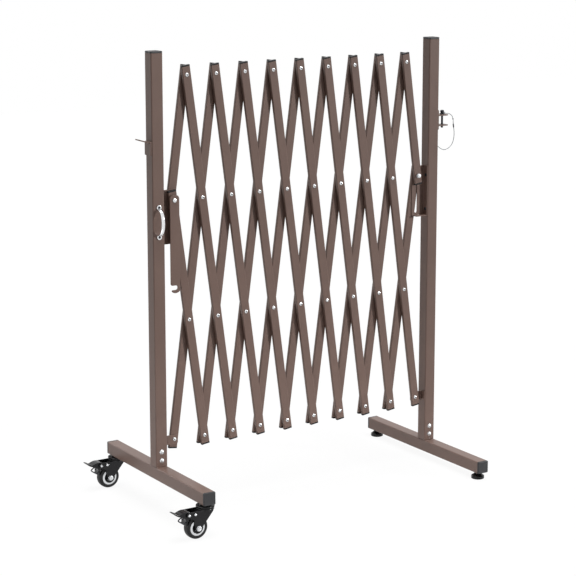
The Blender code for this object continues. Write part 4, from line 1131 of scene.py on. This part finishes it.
def addPedal(where, low, foot):
    # brake pedal with grip ridges, its pivot rivet and its spring clip
    shape = bmesh.new()
    width = caster["pedalWidth"]
    plate(shape, rounded(pedalOutline, 2)[::-1], [], width, 0.8, foot @ uprightPlane)
    (ridgeX, ridgeZ), (stepX, stepZ) = gripRidge["first"], gripRidge["step"]
    for k in range(gripRidge["count"]):
        ridge = foot @ at(ridgeX + stepX * k, 0, ridgeZ + stepZ * k)
        ridge = ridge @ Matrix.Rotation(radians(gripRidge["tilt"]), 4, "Y")
        plate(shape, roundRect(1.2, width - 5, 0.5, 3), [], 1.2, 0.3, ridge)
    barrel = foot @ toward((0, 1, 0), (pedalPivotPlace[0], 0, pedalPivotPlace[1]))
    end = [(0, width / 2 + 0.5), (2.8, width / 2 + 0.5), (3.2, width / 2)]
    lathe(shape, end + [(r, -h) for r, h in reversed(end)], barrel, 24)
    pedal = f"{low}_brake_pedal"
    piece(f"caster{where}BrakePedal", shape, glossNylon, pedal, [f"{low}_caster_brake_pedal"])

    shape = bmesh.new()
    radius, base = caster["rivet"], forkFace + 0.1
    dome = domed(radius, 1.8, 0.6, 6, 0.2)
    head = [(0, base + 1.8), *[(r, base + h) for r, h in dome], (radius, base), (2, base)]
    lathe(shape, head + [(r, -h) for r, h in reversed(head)], barrel, 24)
    piece(f"caster{where}PedalRivet", shape, zincPlate, pedal)

    shape = bmesh.new()
    wire = [foot @ Vector((u, spring["y"], v)) for u, v in springWire]
    sweep(shape, wire, lambda along: oval(spring["radius"], spring["radius"], 12), (0, 1, 0))
    piece(f"caster{where}SpringClip", shape, blackOxide, pedal)


for where, end in (("Front", -1), ("Rear", 1)):
    low, foot = where.lower(), at(leftPostX, end * caster["y"], 0)
    axle = foot @ toward((0, -1, 0), (-caster["trail"], 0, caster["wheel"]))
    addStem(where, low, foot)
    addFork(where, low, foot, axle)
    addWheel(where, low, axle)
    addPedal(where, low, foot)
print("casters made")

# Levelling feet: moulded pads on threaded stems

levelling = {
    "y": 200, "radius": 15, "neck": 8, "height": 15.7, "stem": 4, "top": 38, "pitch": 1.25,
    "threadDepth": 0.55,
}
r, neck, height, stem = (levelling[key] for key in ("radius", "neck", "height", "stem"))
pitch = levelling["pitch"]
for where, end in (("Front", -1), ("Rear", 1)):
    shape = bmesh.new()
    profile = [(0, levelling["top"]), (stem - 0.6, levelling["top"])]
    z = levelling["top"] - 0.5
    while z > height + pitch:
        profile += [(stem, z), (stem - levelling["threadDepth"], z - pitch / 2)]
        z -= pitch
    profile += [
        (stem, height), (neck - 0.6, height), (neck, height - 0.6), (neck, 11.8),
        (neck + 0.5, 11.2), (r - 2.2, 7.6), (r - 0.8, 7.0), (r, 5.9), (r, 3.0),
        (r - 0.5, 2.7), (r - 0.5, 2.2), (r, 1.9), (r, 0.7), (r - 0.7, 0), (0, 0),
    ]
    lathe(shape, profile, at(rightPostX, end * levelling["y"], 0), 48)
    name = f"{where.lower()}_levelling_foot"
    piece(f"levellingFoot{where}", shape, glossNylon, name, [name])
print("levelling feet made")

# Studio: white paper and backdrop, a key light from the right, a wide one overhead, a weak fill
# from the left, a back light, and a low strip for the casters

studio = {
    "floorSize": 14,
    "floorTone": "#737170",
    "sheetRadius": (0.35, 0.85),  # white paper under the barrier, on a greyer floor
    "sheetTone": "#f2f2f2",
    "whiteShare": 0.92,
    "ambient": 0.02,
}
# each sun is far off: where it comes from, how wide it looks in degrees, and what share of
# white it gives a sheet of paper that faces it
suns = {
    "key": {"from": (0.66, -0.72, 0.20), "angle": 5, "level": 0.63},
    "overhead": {"from": (0.02, -0.08, 0.99), "angle": 40, "level": 1.05},
    "fill": {"from": (-0.95, -0.20, 0.24), "angle": 40, "level": 0.03},
    "back": {"from": (-0.25, 0.92, 0.30), "angle": 30, "level": 0.19},
}
# a strip light low on the left, which brightens the casters and the foot over them
lowStrip = {
    "place": (-1.15, -0.2, 0.05), "aim": (-0.34, -0.05, 0.12), "size": (0.9, 0.2), "power": 2.6,
}


def whiteRays(tree):
    # 1 on the rays that the camera, a mirror or a glass sees the background by
    path = addNode(tree, "LightPath")
    first = addNode(
        tree, "Math", {"operation": "MAXIMUM"},
        {0: path.outputs["Is Camera Ray"], 1: path.outputs["Is Glossy Ray"]},
    )
    return addNode(
        tree, "Math", {"operation": "MAXIMUM"},
        {0: first.outputs[0], 1: path.outputs["Is Transmission Ray"]},
    ).outputs[0]


world = bpy.data.worlds.new("studio")
world.use_nodes = True
scene.world = world
tree = world.node_tree
tree.nodes.clear()
grey = (studio["ambient"],) * 3 + (1,)
soft = addNode(tree, "Background", {"Color": grey, "Strength": 1.0})
white = addNode(tree, "Background", {"Color": (1, 1, 1, 1), "Strength": 1.0})
mixed = addNode(
    tree, "MixShader", None,
    {0: whiteRays(tree), 1: soft.outputs[0], 2: white.outputs[0]},
)
addNode(tree, "OutputWorld", None, {"Surface": mixed.outputs[0]})

# matt white paper, which keeps a faint shadow
floorMaterial = bpy.data.materials.new("seamlessPaper")
floorMaterial.use_nodes = True
tree = floorMaterial.node_tree
tree.nodes.clear()
whole = whiteRays(tree)
spot = addNode(tree, "TexCoord").outputs["Object"]
away = addNode(tree, "VectorMath", {"operation": "LENGTH"}, {0: spot}).outputs["Value"]
edge = addNode(
    tree, "MapRange",
    {"From Min": studio["sheetRadius"][0], "From Max": studio["sheetRadius"][1]}, {"Value": away},
)
bounce = addNode(
    tree, "Mix",
    {"data_type": "RGBA", 6: linear(studio["sheetTone"]), 7: linear(studio["floorTone"])},
    {0: edge.outputs["Result"]},
)
tone = addNode(
    tree, "Mix", {"data_type": "RGBA", 7: linear(studio["sheetTone"])},
    {0: whole, 6: bounce.outputs[2]},
)
paper = addNode(tree, "BsdfDiffuse", None, {"Color": tone.outputs[2]})
glow = addNode(tree, "Emission", {"Color": (1, 1, 1, 1), "Strength": 1.0})
seen = addNode(
    tree, "Math", {"operation": "MULTIPLY", 1: studio["whiteShare"]}, {0: whole},
)
mixed = addNode(
    tree, "MixShader", None,
    {0: seen.outputs[0], 1: paper.outputs[0], 2: glow.outputs[0]},
)
addNode(tree, "OutputMaterial", None, {"Surface": mixed.outputs[0]})
shape = bmesh.new()
bmesh.ops.create_grid(shape, x_segments=4, y_segments=4, size=studio["floorSize"] / 2)
mesh = bpy.data.meshes.new("floor")
shape.to_mesh(mesh)
shape.free()
mesh.materials.append(floorMaterial)
floor = bpy.data.objects.new("floor", mesh)
scene.collection.objects.link(floor)

for name, spec in suns.items():
    light = bpy.data.lights.new(name, "SUN")
    light.energy = spec["level"] * pi
    light.angle = radians(spec["angle"])
    lamp = bpy.data.objects.new(name, light)
    lamp.rotation_euler = Vector(spec["from"]).to_track_quat("Z", "Y").to_euler()
    scene.collection.objects.link(lamp)

light = bpy.data.lights.new("lowStrip", "AREA")
light.shape = "RECTANGLE"
light.size, light.size_y = lowStrip["size"]
light.energy = lowStrip["power"]
lamp = bpy.data.objects.new("lowStrip", light)
lamp.location = lowStrip["place"]
lamp.rotation_euler = (Vector(lowStrip["aim"]) - lamp.location).to_track_quat("-Z", "Y").to_euler()
lamp.visible_camera = False
scene.collection.objects.link(lamp)

scene.view_settings.view_transform = "Standard"
print("studio made")
